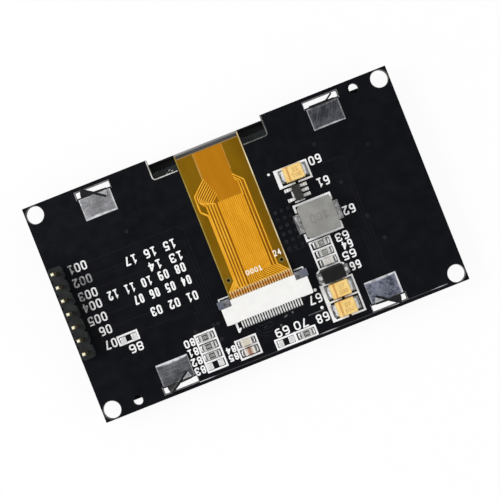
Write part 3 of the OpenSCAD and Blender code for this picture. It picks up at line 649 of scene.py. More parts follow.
def lead_joint_solder():
    """Solder with a painted highlight where it climbs to a lead, and painted dark reflections, mottled, at
    its foot.
    """
    f = Finish("lead_joint_solder", (3, 0.22, 0.36), (6, 0.02, 0.5), metallic=0.4)
    # Painted dark reflections at the foot, and a painted near-white highlight where the solder climbs
    foot = f.mix(f.cloud(1.4), (30, 30, 33), (168, 168, 170))
    return f.coloured(climb(f, 0.06, 0.18, 1.6, 0.6), foot, (250, 250, 248))


def lock_plastic():
    """Grey plastic, with painted shade and light, mottled, in the hollow of each ear."""
    f = Finish("grey_plastic", (2.5, 0.39, 0.51), (16, 0.008, 0.7))
    # Painted shade and light, mottled, in the hollow of each ear
    painted_recess_shading = f.mix(f.cloud(1.5, detail=5), (62, 62, 66), (138, 138, 142))
    grey = f.mix(f.cloud(0.6), (92, 98, 111), (112, 117, 131))
    return f.coloured(f.span(f.size(f.less(f.at("X"), HOUSING_X)), 7.8, 7.6), grey, painted_recess_shading)


def ferrite(name="ferrite", dark=(136, 135, 131), light=(154, 153, 148)):
    """Ground ferrite with fine pores."""
    f = Finish(name, (4, 0.5, 0.68), specular_ior_level=0.3)
    pores = f.node("TexVoronoi", {"Vector": f.place(), "Scale": 7.0})
    body = f.mix(f.cloud(0.35, detail=6), dark, light)
    f.bump(f.math("ADD", f.span(pores, 0.0, 0.2), f.noise(12, 5)), 0.012, 0.6)
    return f.coloured(f.span(pores, 0.03, 0.12), (118, 117, 113), body)


def coated_steel():
    """Black-coated sheet steel. Where the tabs were twisted, over the pads, the steel is light grey and
    mostly metallic: a painted highlight for the glints on the twisted ramps."""
    f = Finish("coated_steel", grain=(9, 0.01, 0.6), specular_ior_level=0.35)
    inside = f.span(f.size(f.at("Y")), SLOT_IN_Y + 0.02, SLOT_IN_Y - 0.04)
    bare = f.both(inside, f.between(f.at("Z"), LAND_TOP + 0.02, LAND_TOP + 0.47, 0.02))
    coat = f.mix(f.cloud(1.2, detail=5), (12, 12, 14), (24, 25, 28))
    # Painted highlight on the twisted ramps, as light grey metal
    painted_ramp_glint = f.mix(f.cloud(2.4, detail=6), (170, 171, 174), (226, 226, 228))
    f.set("Metallic", f.both(bare, 0.85))
    f.set("Roughness", f.cloud(1.6, 0.3, 0.42, detail=5))
    return f.coloured(bare, coat, painted_ramp_glint)


def polarizer_film():
    """The dark front film, through which the unlit field shows faintly."""
    f = Finish("polarizer_film", (0.4, 0.12, 0.18), (20, 0.001, 0.3), coat_weight=1.0, coat_roughness=0.03)
    low, high = box_mm("pixel_layer")
    lit = f.both(f.between(f.at("X"), low.x, high.x, 0.05), f.between(f.at("Y"), low.y, high.y, 0.05))
    return f.coloured(lit, (9, 10, 13), (20, 22, 27))


def foam():
    """Black closed-cell foam."""
    f = Finish("foam", roughness=0.9)
    cells = f.node("TexVoronoi", {"Vector": f.place(), "Scale": 9.0})
    f.bump(cells, 0.06, 0.9)
    return f.coloured(f.span(cells, 0.0, 0.4), (14, 14, 15), (38, 38, 40))


def give(node, material, bevel=0.0):
    """Gives a CAD node its finish, and softens its edges if asked."""
    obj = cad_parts[node]
    obj.data.materials.clear()
    obj.data.materials.append(material)
    if bevel:
        weld = obj.modifiers.new("weld", "WELD")
        weld.merge_threshold = 0.001 * MM
        flat = obj.modifiers.new("flat", "DECIMATE")
        flat.decimate_type = "DISSOLVE"
        flat.angle_limit = math.radians(1.0)
        soft = obj.modifiers.new("soft", "BEVEL")
        soft.width = bevel * MM
        soft.segments = 2
        soft.limit_method = "ANGLE"
        soft.angle_limit = math.radians(40)
        soft.harden_normals = True


def mould(node, name, dark, light, *grain, bevel=0.0, **values):
    """Gives a CAD node a moulded finish."""
    give(node, moulded_plastic(name, dark, light, *grain, **values), bevel)


def finish_display():
    """Frame, panel and board."""
    glass = panel_glass()
    give("pcb", solder_mask(), 0.03)
    give("lands", tin("land_tin", (150, 150, 151), (198, 198, 197), metallic=0.6))
    give("bezel", coated_steel(), 0.04)
    give("polarizer", polarizer_film())
    give("front_glass", glass, 0.03)
    give("cover_glass", glass, 0.03)
    mould("pixel_layer", "pixel_layer", (12, 18, 28), (24, 32, 44), 0.3, 20, 0.002)
    mould("drying_sheet", "drying_sheet", (196, 192, 180), (220, 216, 206), 0.9, 6, 0.02)
    mould("driver_chip", "silicon", (44, 47, 54), (62, 66, 74), 0.22, 4, 0.002)
    give("foam_tape", foam())


def finish_connections():
    """Cable, its connector and the pin header."""
    give("flex_cable", polyimide())
    mould("flex_stiffener", "stiffener", (38, 82, 140), (52, 100, 160), 0.4, 8, 0.006)
    mould("connector_housing", "white_plastic", (243, 242, 239), (249, 248, 245), 0.5, 18, 0.004, bevel=0.06)
    give("connector_lock", lock_plastic(), 0.05)
    give("connector_contacts", tin("contact_tin", (236, 236, 234), (252, 252, 250), (0.34, 0.46), 3.0, 0.0))
    mould("header_body", "header_plastic", (18, 19, 20), (34, 36, 38), 0.5, 10, 0.016, bevel=0.05,
          specular_ior_level=0.3)
    give("header_pins", gold_pin(), 0.03)
    give("header_solder", tin("cone_tin", (176, 176, 175), (226, 226, 224)))


def finish_chips():
    silver = ((222, 222, 221), (250, 250, 248), 0.45)
    dark_glaze = chip("dark_resistor", glazed_body((30, 32, 31), (62, 64, 62)), *silver)
    pale_glaze = chip("pale_resistor", glazed_body((96, 97, 93), (138, 139, 134)), *silver)
    for k in range(1, 7):
        right_column = box_mm(f"resistor_{k}")[0].x > 8
        give(f"resistor_{k}", pale_glaze if right_column else dark_glaze, 0.03)
    bodies = [("white_cap", white_body), ("pale_cap", pale_body), ("brown_cap", brown_body)]
    for k, (name, body) in enumerate(bodies):
        give(f"ceramic_cap_{k + 1}", chip(name, body, (222, 218, 208), (244, 240, 232), 0.1), 0.05)


def finish_parts():
    """Moulded parts and the coil."""
    tantalum = tantalum_mould()
    for k in range(1, 4):
        give(f"tantalum_cap_{k}", tantalum, 0.06)
    lead = tin("lead_tin", (226, 226, 224), (250, 250, 247), (0.28, 0.4), 3.0, 0.2)
    give("tantalum_leads", lead, 0.02)
    give("coil_core", ferrite(), 0.1)
    give("coil_winding", enamelled_wire())
    give("coil_terminals", tin("terminal_tin", (92, 92, 92), (196, 196, 194), (0.28, 0.4), 1.6, 0.3), 0.02)
    mould("diode_body", "diode_mould", (9, 9, 8), (17, 17, 15), 0.5, 20, 0.012, bevel=0.06,
          specular_ior_level=0.3)
    give("diode_leads", diode_lead(), 0.02)
    mould("regulator_body", "regulator_mould", (38, 38, 37), (56, 55, 53), 0.5, 20, 0.012, bevel=0.05,
          specular_ior_level=0.3)
    give("regulator_leads", lead)


# Print on the board

PRINT_W = 0.34
BAR_W = 0.75
GAP = 0.28

# Frames round tantalum capacitors: left, right, levels, middle of the gap, height and radius of dots
CAPACITOR_FRAMES = [
    (9.65, 15.8, [7.1, 10.35], 12.9, [(10.25, 0.24)]),
    (9.8, 15.95, [-19.1, -15.65, -12.3], 13.0, [(-12.45, 0.3), (-15.9, 0.3)]),
]

# Frames with rungs between footprints: left, right and levels
LADDERS = [
    (10.85, 14.75, [-9.3, -7.55, -5.85, -4.2]),
    (-14.9, -11.2, [-19.3, -17.55, -15.75, -13.9, -12.2]),
    (-8.4, -4.5, [-19.4, -17.5, -15.9]),
]

# Single frames: left, lower, right and upper side
FRAMES = [(-1.55, -20.1, 6.2, -18.4), (-28.1, -8.75, -24.4, -7.2)]


def ladder(shape, x0, x1, levels):
    """A frame with rungs between footprints that lie one above the other."""
    outline(shape, x0, levels[0], x1, levels[-1])
    for y in levels[1:-1]:
        line(shape, [(x0, y), (x1, y)], PRINT_W, lifted=1)


def capacitor_print(shape, x0, x1, levels, gap_x, dots):
    """The frame round tantalum capacitors: open under each, with a thick bar and a dot at the
    positive end."""
    low, top = levels[0], levels[-1]
    for y in levels[:-1]:
        for x, to in ((x0, gap_x - GAP), (gap_x + GAP, x1)):
            line(shape, [(x, y), (to, y)], PRINT_W, lifted=1, round_ends=False)
    sides = [(x0, low), (x0, top), (x1, top), (x1, low - PRINT_W / 2)]
    line(shape, sides, PRINT_W, round_ends=False)
    bar_x = x0 + (BAR_W - PRINT_W) / 2
    bar = [(bar_x, low - PRINT_W / 2), (bar_x, top + PRINT_W / 2)]
    line(shape, bar, BAR_W, lifted=2, round_ends=False)
    for y, radius in dots:
        disc(shape, x0 - 1.1, y, radius)


def column_print(shape):
    """Marks at the regulator, the coil and the diode."""
    line(shape, [(11.35, 5.7), (11.35, 4.8)], 0.3)
    line(shape, [(11.35, 3.75), (13.1, 3.75)], 0.26)
    coil_box = [(10.68, 2.0), (10.68, 3.14), (17.62, 3.14), (17.62, 2.0)]
    line(shape, coil_box, 0.4)
    line(shape, [(x, -y - 0.46) for x, y in coil_box], 0.4)
    for x, inner in ((10.2, 10.6), (15.3, 14.9)):
        for y, toward in ((-9.55, -1), (-12.0, 1)):
            line(shape, [(inner, y), (x, y + 0.25 * toward)], PRINT_W)


def connector_print(shape):
    """Brackets at the connector's ears, lines behind its wings and the foot at contact 1."""
    left, right = HOUSING_LOW.x + 0.15, HOUSING_HIGH.x - 0.15
    for x, inner in ((left, CABLE_LOW.x - 0.1), (right, CABLE_HIGH.x + 0.35)):
        line(shape, [(x, -8.2), (x, -7.68), (inner, -7.68)], 0.25)
    rear = HOUSING_LOW.y + 0.04
    line(shape, [(HOUSING_LOW.x + 0.4, rear), (-6.3, rear)], 0.4)
    line(shape, [(-6.95, rear), (-6.95, -14.45)], 0.42, lifted=1)
    line(shape, [(-6.9, -14.4), (-6.5, -14.0)], PRINT_W, lifted=2)
    line(shape, [(6.2, rear), (HOUSING_HIGH.x - 0.2, rear)], 0.4)


def footprint_print(shape):
    """Frames, dots and marks round the footprints."""
    for values in CAPACITOR_FRAMES:
        capacitor_print(shape, *values)
    for values in LADDERS:
        ladder(shape, *values)
    for values in FRAMES:
        outline(shape, *values)
    x0, y0, x1, y1 = FRAMES[0]
    divider_x = (x0 + x1) / 2 - 0.075
    line(shape, [(divider_x, y0), (divider_x, y1)], 0.5, lifted=1)


# Plain numbers beside the parts: height and pitch of the signs, then text and the middle of its place
PART_NUMBERS = [
    (1.7, 1.29, [("60", 17.45, 9.75), ("61", 17.4, 5.5), ("62", 19.9, -1.0)]),
    (1.6, 1.4, [("63", 16.92, -5.1), ("65", 16.92, -8.7)]),
    (1.6, 1.13, [("64", 17.25, -6.83), ("66", 17.25, -10.9)]),
    (1.72, 1.36, [("67", 8.15, -14.0), ("68", 8.15, -17.65)]),
    (1.65, 1.46, [("69", 0.35, -17.3), ("70", 4.0, -17.3), ("86", -25.5, -10.15)]),
    (1.5, 1.15, [("80", -16.2, -13.05), ("81", -16.2, -14.85), ("82", -16.2, -16.65), ("83", -16.2, -18.42)]),
    (1.3, 1.05, [("84", -9.6, -16.95), ("85", -9.6, -18.4)]),
]

# Rows of plain numbers in the left field: text, the middle of its place and the pitch of its signs
FIELD_NUMBERS = [
    ("15 16 17", -16.8, 5.05, 1.27),
    ("13 14", -14.75, 2.55, 1.38),
    ("08 09 10 11 12", -19.35, 0.35, 1.1),
    ("04 05 06 07", -17.2, -2.15, 1.03),
    ("01 02 03", -16.1, -5.25, 1.17),
]

# Plain numbers of the pins: text, middle and height along the header
PIN_NUMBERS = [
    ("001", -30.2, 7.4), ("002", -30.2, 4.8), ("003", -30.2, 2.1), ("004", -30.2, -0.1),
    ("005", -30.2, -2.7), ("06", -29.6, -5.15), ("07", -29.6, -7.85),
]


def print_board():
    white = ink()
    frames, numbers, pins = Shape(), Shape(), Shape()
    column_print(frames)
    footprint_print(frames)
    connector_print(frames)
    for height, pitch, labels in PART_NUMBERS:
        for text, x, y in labels:
            number(numbers, text, x, y, height, pitch, 0.28)
    for text, x, y, pitch in FIELD_NUMBERS:
        number(numbers, text, x, y, pitch=pitch)
    for text, x, y in PIN_NUMBERS:
        number(pins, text, x, y, weight=0.28)
    frames.piece("printed_frames", white)
    numbers.piece("printed_numbers", white)
    pins.piece("pin_numbers", header_shadow_ink())


def print_parts():
    """Small plain numbers on the chips, the tantalum capacitors and the coil."""
    chips, tantalum, coil = Shape(), Shape(), Shape()
    for k in range(1, 7):
        x, y, z = top_of(f"resistor_{k}")
        number(chips, f"00{k}", x, y, 0.56, 0.3, 0.08, place=level(z))
    for k in range(1, 4):
        x, y, z = top_of(f"tantalum_cap_{k}")
        for text, up, height in (("10", 0.45, 0.8), (f"{k:03d}", -0.6, 0.7)):
            number(tantalum, text, x + 0.4, y + up, height, 0.6, 0.12, place=level(z))
    x, y, z = top_of("coil_core")
    number(coil, "100", x, y, 1.6, 1.2, 0.22, place=level(z))
    chips.piece("chip_numbers", moulded_plastic("chip_ink", (166, 168, 164), (206, 208, 204), 0.5))
    burnt = moulded_plastic("burnt_print", (206, 160, 92), (222, 182, 112), 0.5)
    tantalum.piece("capacitor_numbers", burnt)
    coil.piece("coil_number", ferrite("raised_ferrite", (126, 125, 121), (138, 137, 133)), "ferrite")


# Copper under the lacquer

VIAS = [(-10.0, -11.6), (-10.9, -11.5), (-10.45, -14.5), (-14.5, -11.5), (6.2, -13.2), (20.4, 4.2),
        (22.6, -3.4), (24.1, -8.2), (27.5, 8.8), (18.3, 12.4), (-19.4, 10.2), (-6.0, 15.2)]

# Vias in rows beside the coil
VIAS += [(7.1 + 1.25 * i, 3.3 - 1.4 * j) for i in range(3) for j in range(6)]

# Traces that curve round each other below the connector
WINDING = [
    [(-3.9, -14.8), (-3.6, -15.9), (-2.3, -16.5), (-0.9, -16.3)],
    [(-4.2, -15.6), (-3.6, -16.6), (-2.3, -17.1)],
    [(-3.3, -14.7), (-2.6, -14.95), (-1.0, -14.75), (-0.7, -15.3), (-1.3, -15.8), (-2.8, -15.85)],
]


def buried_copper():
    """Tented vias, traces that show only as faint relief, and a few bared specks."""
    vias, traces, bare = Shape(), Shape(), Shape()
    for x, y in VIAS:
        disc(vias, x, y, 0.34, (BURIED[0], 1.6 * BURIED[1]), hole=0.12)
    for x in (6.9, 8.1, 9.3):
        line(vias, [(x, -4.3), (x + 0.7, -4.3)], 0.16, BURIED)
    line(vias, [(-2.4, -15.45), (-1.7, -15.35)], 0.3, BURIED)
    for path in WINDING:
        line(vias, path, 0.13, BURIED, radius=0.7)
    for k in range(PIN_N):
        y, lane = (PIN_N // 2 - k) * PIN_PITCH, -9.6 - 0.6 * k
        path = [(HEADER_HIGH.x + 0.4, y), (lane - 0.8, y), (lane, y - 0.8), (lane, -10.6)]
        line(traces, path, 0.26, BURIED)
    for y, lane in ((8.6, 22.4), (5.4, 21.8), (-0.9, 21.2), (-4.9, 20.6)):
        line(traces, [(18.6, y), (lane - 0.5, y), (lane, y - 0.5), (lane, -12.6)], 0.3, BURIED)
    line(bare, [(6.0, -16.35), (8.9, -16.35)], 0.2, BURIED)
    line(bare, [(1.8, -15.0), (2.2, -14.82)], 0.34, BURIED)
    disc(bare, 3.4, -14.7, 0.2, BURIED)
    disc(bare, 0.57, -16.15, 0.22, BURIED)
    for shape, name, finish, dark, light in (
        (bare, "scratched_trace", pale_edge, (52, 52, 54), (104, 104, 106)),
        (vias, "tented_vias", tented_copper, (20, 21, 25), (44, 45, 49)),
        (traces, "buried_traces", tented_copper, (9, 10, 15), (15, 16, 21)),
    ):
        shape.piece(name, finish(name, dark, light), "board_laminate")


def board_edges():
    """The ground area's edge along the lower rim, and the milled rim of the notch."""
    ground = Shape()
    line(ground, [(-17.0, -20.33), (31.6, -20.33)], 0.15, EDGE)
    ground.piece("ground_edge", ground_rim(), "board_laminate")
    out = 0.12
    floor_y = NOTCH_FLOOR - out
    # The left rim gets light tones and the right rim dark ones: painted light and painted shade on the same
    # milled laminate
    for side, name, cable_x, tones in (
        (-1, "notch_rim_left", CABLE_LOW.x - 0.3, ((150, 149, 142), (226, 225, 220))),
        (1, "notch_rim_right", CABLE_HIGH.x + 0.3, ((76, 76, 73), (118, 117, 112))),
    ):
        x = CABLE_X + side * (NOTCH_L / 2 + out)
        rim = Shape()
        path = [(x, BOARD_HIGH.y - 0.1), (x, floor_y), (cable_x, floor_y)]
        line(rim, path, 0.2, EDGE, radius=NOTCH_R + out)
        rim.piece(name, pale_edge(name, *tones), "board_laminate")


def corner_rims():
    """Thin grey rims of the four corner holes."""
    shape = Shape()
    outer, inner = 1.73, 1.66
    hole_x, hole_y = BOARD_HIGH.x - CORNER_IN, BOARD_HIGH.y - CORNER_IN
    for x in (-hole_x, hole_x):
        for y in (-hole_y, hole_y):
            disc(shape, x, y, outer, BURIED, hole=inner, sides=48)
    shape.piece("hole_rims", pale_edge("hole_rims", (60, 61, 60), (104, 105, 102)), "board_laminate")


# Solder


def dome(shape, x, y, length, width, height, seed, columns=12, rows=10, uneven=0.25, z=LAND_TOP + LIFT):
    """Solder that has set on a land, or a painted glint on the panel: a low cushion with an uneven face."""
    def place(u, v):
        rise = (1 - abs(2 * u - 1) ** 6) * (1 - abs(2 * v - 1) ** 6)
        wave = noise.noise(Vector((u * 3 + seed, v * 3 - seed, seed)))
        up = height * rise * (1 + uneven * wave)
        return (x + (u - 0.5) * length, y + (v - 0.5) * width, z + up)
    shape.sheet(columns, rows, place, 0.003)


def fillet(shape, x, y, outward, width, reach, height, seed=0.0, along_y=False):
    """Solder that climbs from a land to a lead or a chip's end, in a hollow curve."""
    steps, ribs = 7, 9
    rings = []
    for j in range(ribs):
        v = 2 * j / (ribs - 1) - 1
        uneven = 1 + 0.12 * noise.noise(Vector((seed, v * 1.7, 0.4)))
        swell = math.sqrt(max(0.02, 1 - abs(v) ** 5)) * uneven
        curve = [(0.0, 0.0)]
        for i in range(steps + 1):
            t = i / steps
            curve.append((reach * swell * (1 - t), height * swell * t ** 1.9))
        ring = []
        for out, up in curve:
            u, w = (v * width / 2, outward * out) if along_y else (outward * out, v * width / 2)
            ring.append((x + u, y + w, LAND_TOP + 0.003 + up))
        rings.append(ring)
    shape.loft(rings)


def both_ends(shape, node, width, reach, height, seed, out=0.0):
    """Fillets at the two ends of a part, a distance outside its box."""
    low, high = box_mm(node)
    y = (low.y + high.y) / 2
    for outward, x in ((-1, low.x - out), (1, high.x + out)):
        fillet(shape, x, y, outward, width, reach, height, seed + outward / 3)


def regulator_solder(shape):
    """Solder on the regulator's five lands, and fillets at its leads."""
    low, high = box_mm("regulator_body")
    pitch, out = 0.95, 0.65
    for side, step in [(-1, -1), (-1, 1), (1, -1), (1, 0), (1, 1)]:
        offset = pitch * step
        x = low.x - out if side < 0 else high.x + out
        y = (low.y + high.y) / 2 + offset
        fillet(shape, x, y, side, 0.6, 0.5, 0.16, offset)
        dome(shape, x + 0.1 * side, y, 1.24, 0.62, 0.05, offset + side)


def contact_solder(shape):
    """Fillets at the ends of the connector's tails, and solder along their sides."""
    tail_y = box_mm("connector_contacts")[0].y
    land_h = LAND_TOP - BOARD_TOP
    for k in range(CONTACT_N):
        x = finger_x(k)
        fillet(shape, x, tail_y, -1, 0.28, 0.24, 0.12, k / 3, along_y=True)
        path = [(x, HOUSING_LOW.y - 0.1), (x, tail_y + 0.05)]
        line(shape, path, 0.3, (land_h + 0.002, land_h + 0.08), round_ends=False)


# Tab pads: middle, side, tones, grain per millimetre, its stretch and turn, and the painted rim highlight on
# four sides
TAB_PADS = [
    (-TAB_X_TOP, 1, (150, 150, 153), (184, 184, 187), 3.4, (1, 1, 1), 0,
     [(0, 0), (0.05, 1.0), (0.14, 1.25), (0.06, 0.6)]),
    (TAB_X_TOP, 1, (60, 61, 67), (106, 107, 115), 1.3, (4.5, 0.6, 1), 118,
     [(0.045, 0.3), (0.05, 0.35), (0.1, 0.8), (0.12, 0.45)]),
    (-TAB_X_LOW, -1, (96, 97, 102), (132, 133, 138), 1.8, (4, 0.5, 1), 0,
     [(0.02, 0.3), (0.03, 0.4), (0, 0), (0.17, 1.2)]),
    (TAB_X_LOW, -1, (84, 88, 104), (158, 162, 180), 2.6, (1.6, 1, 1), 30,
     [(0.03, 0.4), (0.07, 1.1), (0, 0), (0.15, 1.1)]),
]

# Footprints without a part: the middle of each
EMPTY_FOOTPRINTS = [(-13.15, -18.4), (0.35, -19.25), (-26.2, -8.1)]


def solder_joints():
    """Fillets at all parts, and the solder on empty lands."""
    chips, leads, pads = Shape(), Shape(), Shape()
    for k in range(1, 7):
        both_ends(chips, f"resistor_{k}", 1.17, 0.56, 0.34, k)
    for k in range(1, 4):
        both_ends(chips, f"ceramic_cap_{k}", 1.17, 0.56, 0.55, 7 + k)
        both_ends(leads, f"tantalum_cap_{k}", 2.3, 0.6, 0.55, 11 + k, 0.15)
    both_ends(leads, "coil_terminals", 3.5, 0.4, 0.14, 16)
    contact_solder(pads)
    regulator_solder(pads)
    both_ends(pads, "diode_body", 0.8, 0.5, 0.5, 15, 0.15)
    for k, (x, y) in enumerate(EMPTY_FOOTPRINTS):
        for s in (-1, 1):
            dome(pads, x + s * 1.05, y, 1.04, 1.18, 0.1, k + s / 3)
    chips.piece("chip_joints", chip_joint_solder(), "tin", smooth=True)
    leads.piece("lead_joints", lead_joint_solder(), "tin", smooth=True)
    bright = tin("land_solder", (226, 226, 225), (252, 252, 250), (0.24, 0.36), 2.6, 0.3)
    pads.piece("bright_solder", bright, "tin", smooth=True)


def tab_pads():
    """Solder on the tabs' pads, and the tinned rims of their slots."""
    slots = Shape()
    out = 0.08
    for k, (x, side, *finish) in enumerate(TAB_PADS):
        pad = Shape()
        y = side * (SLOT_IN_Y - PAD_W / 2)
        dome(pad, x, y, PAD_L - 0.06, PAD_W - 0.07, 0.08, 2.3 * k + 0.7, 48, 36, 0.4)
        pad.piece(f"tab_pad_solder_{k + 1}", pad_solder(f"pad_solder_{k + 1}", *finish), "tin", smooth=True)
        left, right = x - SLOT_L / 2 - out, x + SLOT_L / 2 + out
        y0, y1 = side * SLOT_IN_Y, side * (SLOT_IN_Y + SLOT_W + out)
        line(slots, [(left, y0), (left, y1), (right, y1), (right, y0)], 0.13, EDGE)
    slots.piece("slot_rims", tin("rim_tin", (120, 120, 122), (176, 176, 178), metallic=0.4), "tin")


def pin_rings():
    """Tinned rings round the pins' holes on the board's lower face."""
    shape = Shape()
    for k in range(PIN_N):
        y = (k - PIN_N // 2) * PIN_PITCH
        disc(shape, PIN_X, y, 0.98, (0.0, 0.03), under_board, hole=0.52, sides=28)
    shape.piece("pin_rings", tin("ring_tin", (176, 176, 175), (226, 226, 224), scale=2.6), "tin")


def painted_glint_specks():
    """Pale specks on the panel, seen in the notch beside the cable: painted glints."""
    shape = Shape()
    z = box_mm("front_glass")[1].z + LIFT
    specks = [(-8.7, 17.42, 0.7, 0.2), (-8.0, 17.85, 0.5, 0.26), (-7.6, 17.6, 0.45, 0.34)]
    for k, (x, y, length, width) in enumerate(specks):
        dome(shape, x, y, length, width, 0.3, 4.4 * k + 1.3, uneven=0.9, z=z)
    # Painted glints: near-white specks
    glint_paint = moulded_plastic("painted_glints", (206, 206, 200), (250, 250, 246), 0.4, 8, 0.03)
    shape.piece("painted_glint_specks", glint_paint, smooth=True)


# The cable's copper, edges and marks: heights below and above its upper face

GROUND = (-0.02, 0.006)
AREA = (-0.02, 0.016)
TRACE = (-0.03, 0.03)
OVER_TRACE = (0.0, 0.045)
MARK = (0.02, 0.06)

FAN_Y = -5.3
LANES_TOP_Y = 8.8
LANES_LEFT, LANES_RIGHT = -4.55, 4.2
MIDDLE_LEFT, MIDDLE_RIGHT = -2.05, 2.98
GROUND_LEFT, GROUND_RIGHT = -4.3, -1.65
FINGERS_LEFT, FINGERS_RIGHT = -6.15, 5.85


def cable_area(shape, rows, heights=GROUND):
    """An area of the cable given by rows of y, left x and right x."""
    low, high = heights
    left, right = stations([(l, y) for y, l, r in rows]), stations([(r, y) for y, l, r in rows])
    shape.loft([[on_cable(*a, low), on_cable(*a, high), on_cable(*b, high), on_cable(*b, low)]
                for a, b in zip(left, right)])


def trace(shape, path, width, heights=TRACE, radius=0.2, round_ends=True):
    """A line on the cable that follows its slope and bend."""
    band(shape, stations(rounded(path, radius)), width, heights, on_cable, round_ends=round_ends)


def finger_x(k):
    return CABLE_X + (k - (CONTACT_N - 1) / 2) * CONTACT_PITCH


def lane_x(k):
    """Where trace k runs in the cable's straight stretch."""
    if k < 4:
        return -4.4
    if k < 8:
        return (-4.12, -3.58, -3.04, -2.5)[k - 4]
    if k < 22:
        return -1.85 + 0.36 * (k - 8)
    return (3.4, 4.05)[k - 22]


def area_left(y):
    """The left edge of the wide copper area: upright, then slanting inward."""
    return -3.0 + 1.3 * min(1, max(0, (14.0 - y) / 3.5))


def area_right(y):
    """Its right edge: upright, then flaring."""
    return 2.55 + 0.35 * min(1, max(0, (12.7 - y) / 1.0))


def straight_traces(middle, bright):
    """The lanes from the copper area to the fingers, with their fan. Three fingers share one lane,
    and the fourth finger has none."""
    low, high = TRACE
    end = FILM_END_Y + 0.05
    for k in range(CONTACT_N):
        if k == 3:
            continue
        x0, x1 = lane_x(k), finger_x(k)
        turn = end + 1.05 * abs(x1 - x0)
        start = LANES_TOP_Y + 0.15 if k > 3 else turn + 0.6
        shape = bright if k < 8 or k > 21 else middle
        lifted = high + (LIFT * k if k < 3 else 0)
        trace(shape, [(x0, start), (x0, turn), (x1, end)], 0.3 if k < 8 else 0.23, (low, lifted), 0.1)
    shared = [(-5.55, 9.9), (-5.55, 8.4), (-4.4, 7.3), (-4.4, FAN_Y)]
    trace(bright, shared, 0.32, (low, high + 3 * LIFT), 0.3)


def fan_in(bright):
    """Slanted traces between the copper area's left edge and the lanes."""
    for k in range(9):
        y0 = 13.85 - 0.43 * k
        x0 = area_left(y0) + 0.1
        lane = -5.55 if k == 0 else -5.1 + 0.3 * (k - 1)
        y1 = y0 - (x0 - lane) * 0.9
        heights = (TRACE[0], TRACE[1] + (k + 4) * LIFT / 2)
        if k == 0:
            trace(bright, [(x0, y0), (lane, y1), (lane, 9.6)], 0.24, heights)
            continue
        final = lane_x(4 + (k - 1) // 2)
        knee = min(y1 - 0.1, 10.2 - 0.12 * k)
        path = [(x0, y0), (lane, y1), (lane, knee), (final, LANES_TOP_Y + 0.2)]
        trace(bright, path, 0.2, heights, 0.15)


def jogs(bright):
    """The traces that leave the copper area on the right."""
    for x0, y0, x1 in ((2.45, 12.85, 4.05), (2.5, 12.25, 3.4), (2.55, 11.8, 2.95)):
        path = [(x0, y0), (x1, y0 - (x1 - x0)), (x1, LANES_TOP_Y)]
        trace(bright, path, 0.23, (TRACE[0], TRACE[1] + LIFT), 0.3)


def copper_pieces(*pieces):
    """Makes pieces of the cable's copper, each given by shape, name, tones and other details."""
    for shape, name, dark, light, *details in pieces:
        shape.piece("cable_" + name, film_copper(name, dark, light, *details), "polyimide")


def cable_grounds():
    """Darker film between traces, and the wide copper area with its pale borders."""
    area, border, dark, middle, fingers = [Shape() for _ in range(5)]
    levels = [BEND_Y + 0.3, 14.0, 12.7, 11.7, 10.5, LANES_TOP_Y]
    cable_area(area, [(y, area_left(y), area_right(y)) for y in levels], AREA)
    for edge, width in ((area_left, 0.32), (area_right, 0.16)):
        path = [(edge(y), y) for y in (BEND_Y + 0.2, 14.0)]
        trace(border, path, width, (AREA[0], AREA[1] + LIFT))
    left, right = (LANES_LEFT, MIDDLE_LEFT), (MIDDLE_RIGHT, LANES_RIGHT)
    for rows in (
        [(LANES_TOP_Y, GROUND_LEFT, MIDDLE_LEFT), (7.2, *left), (FAN_Y, *left)],
        [(11.3, 2.7, LANES_RIGHT), (LANES_TOP_Y, *right), (FAN_Y, *right)],
        [(13.6, -3.4, -3.0), (11.4, -5.4, -1.9), (9.2, -5.0, GROUND_RIGHT),
         (LANES_TOP_Y, GROUND_LEFT, GROUND_RIGHT)],
        [(FAN_Y, LANES_LEFT, LANES_RIGHT), (FILM_END_Y, -5.4, 5.8)],
    ):
        cable_area(dark, rows)
    cable_area(middle, [(y, MIDDLE_LEFT, MIDDLE_RIGHT) for y in (LANES_TOP_Y, FAN_Y)])
    cable_area(fingers, [(y, FINGERS_LEFT, FINGERS_RIGHT) for y in (FILM_END_Y, MOUTH_Y + 0.02)])
    copper_pieces(
        (area, "copper_area", (178, 115, 10), (188, 123, 16), 0.5),
        (border, "area_borders", (158, 112, 34), (190, 142, 64)),
        (dark, "trace_ground", (122, 74, 2), (150, 96, 6), 0.9),
        (middle, "middle_ground", (196, 128, 12), (210, 140, 20), 1.4),
        (fingers, "finger_ground", (74, 38, 5), (112, 62, 12), 3, (1, 1, 1)),
    )


def cable_traces():
    middle, bright, fingers, film_end = [Shape() for _ in range(4)]
    straight_traces(middle, bright)
    fan_in(bright)
    jogs(bright)
    for k in range(CONTACT_N):
        path = [(finger_x(k), FILM_END_Y), (finger_x(k), MOUTH_Y + 0.02)]
        trace(fingers, path, 0.3, round_ends=False)
    trace(film_end, [(CABLE_LOW.x + 0.3, FILM_END_Y), (CABLE_HIGH.x - 0.3, FILM_END_Y)], 0.14, OVER_TRACE)
    copper_pieces((middle, "middle_traces", (226, 158, 30), (240, 174, 44), 1.4),
                  (bright, "traces", (228, 160, 34), (244, 180, 56), 1.1))
    fingers.piece("cable_fingers", finger_copper(), "polyimide")
    copper_pieces((film_end, "film_end", (222, 168, 78), (240, 196, 116)))


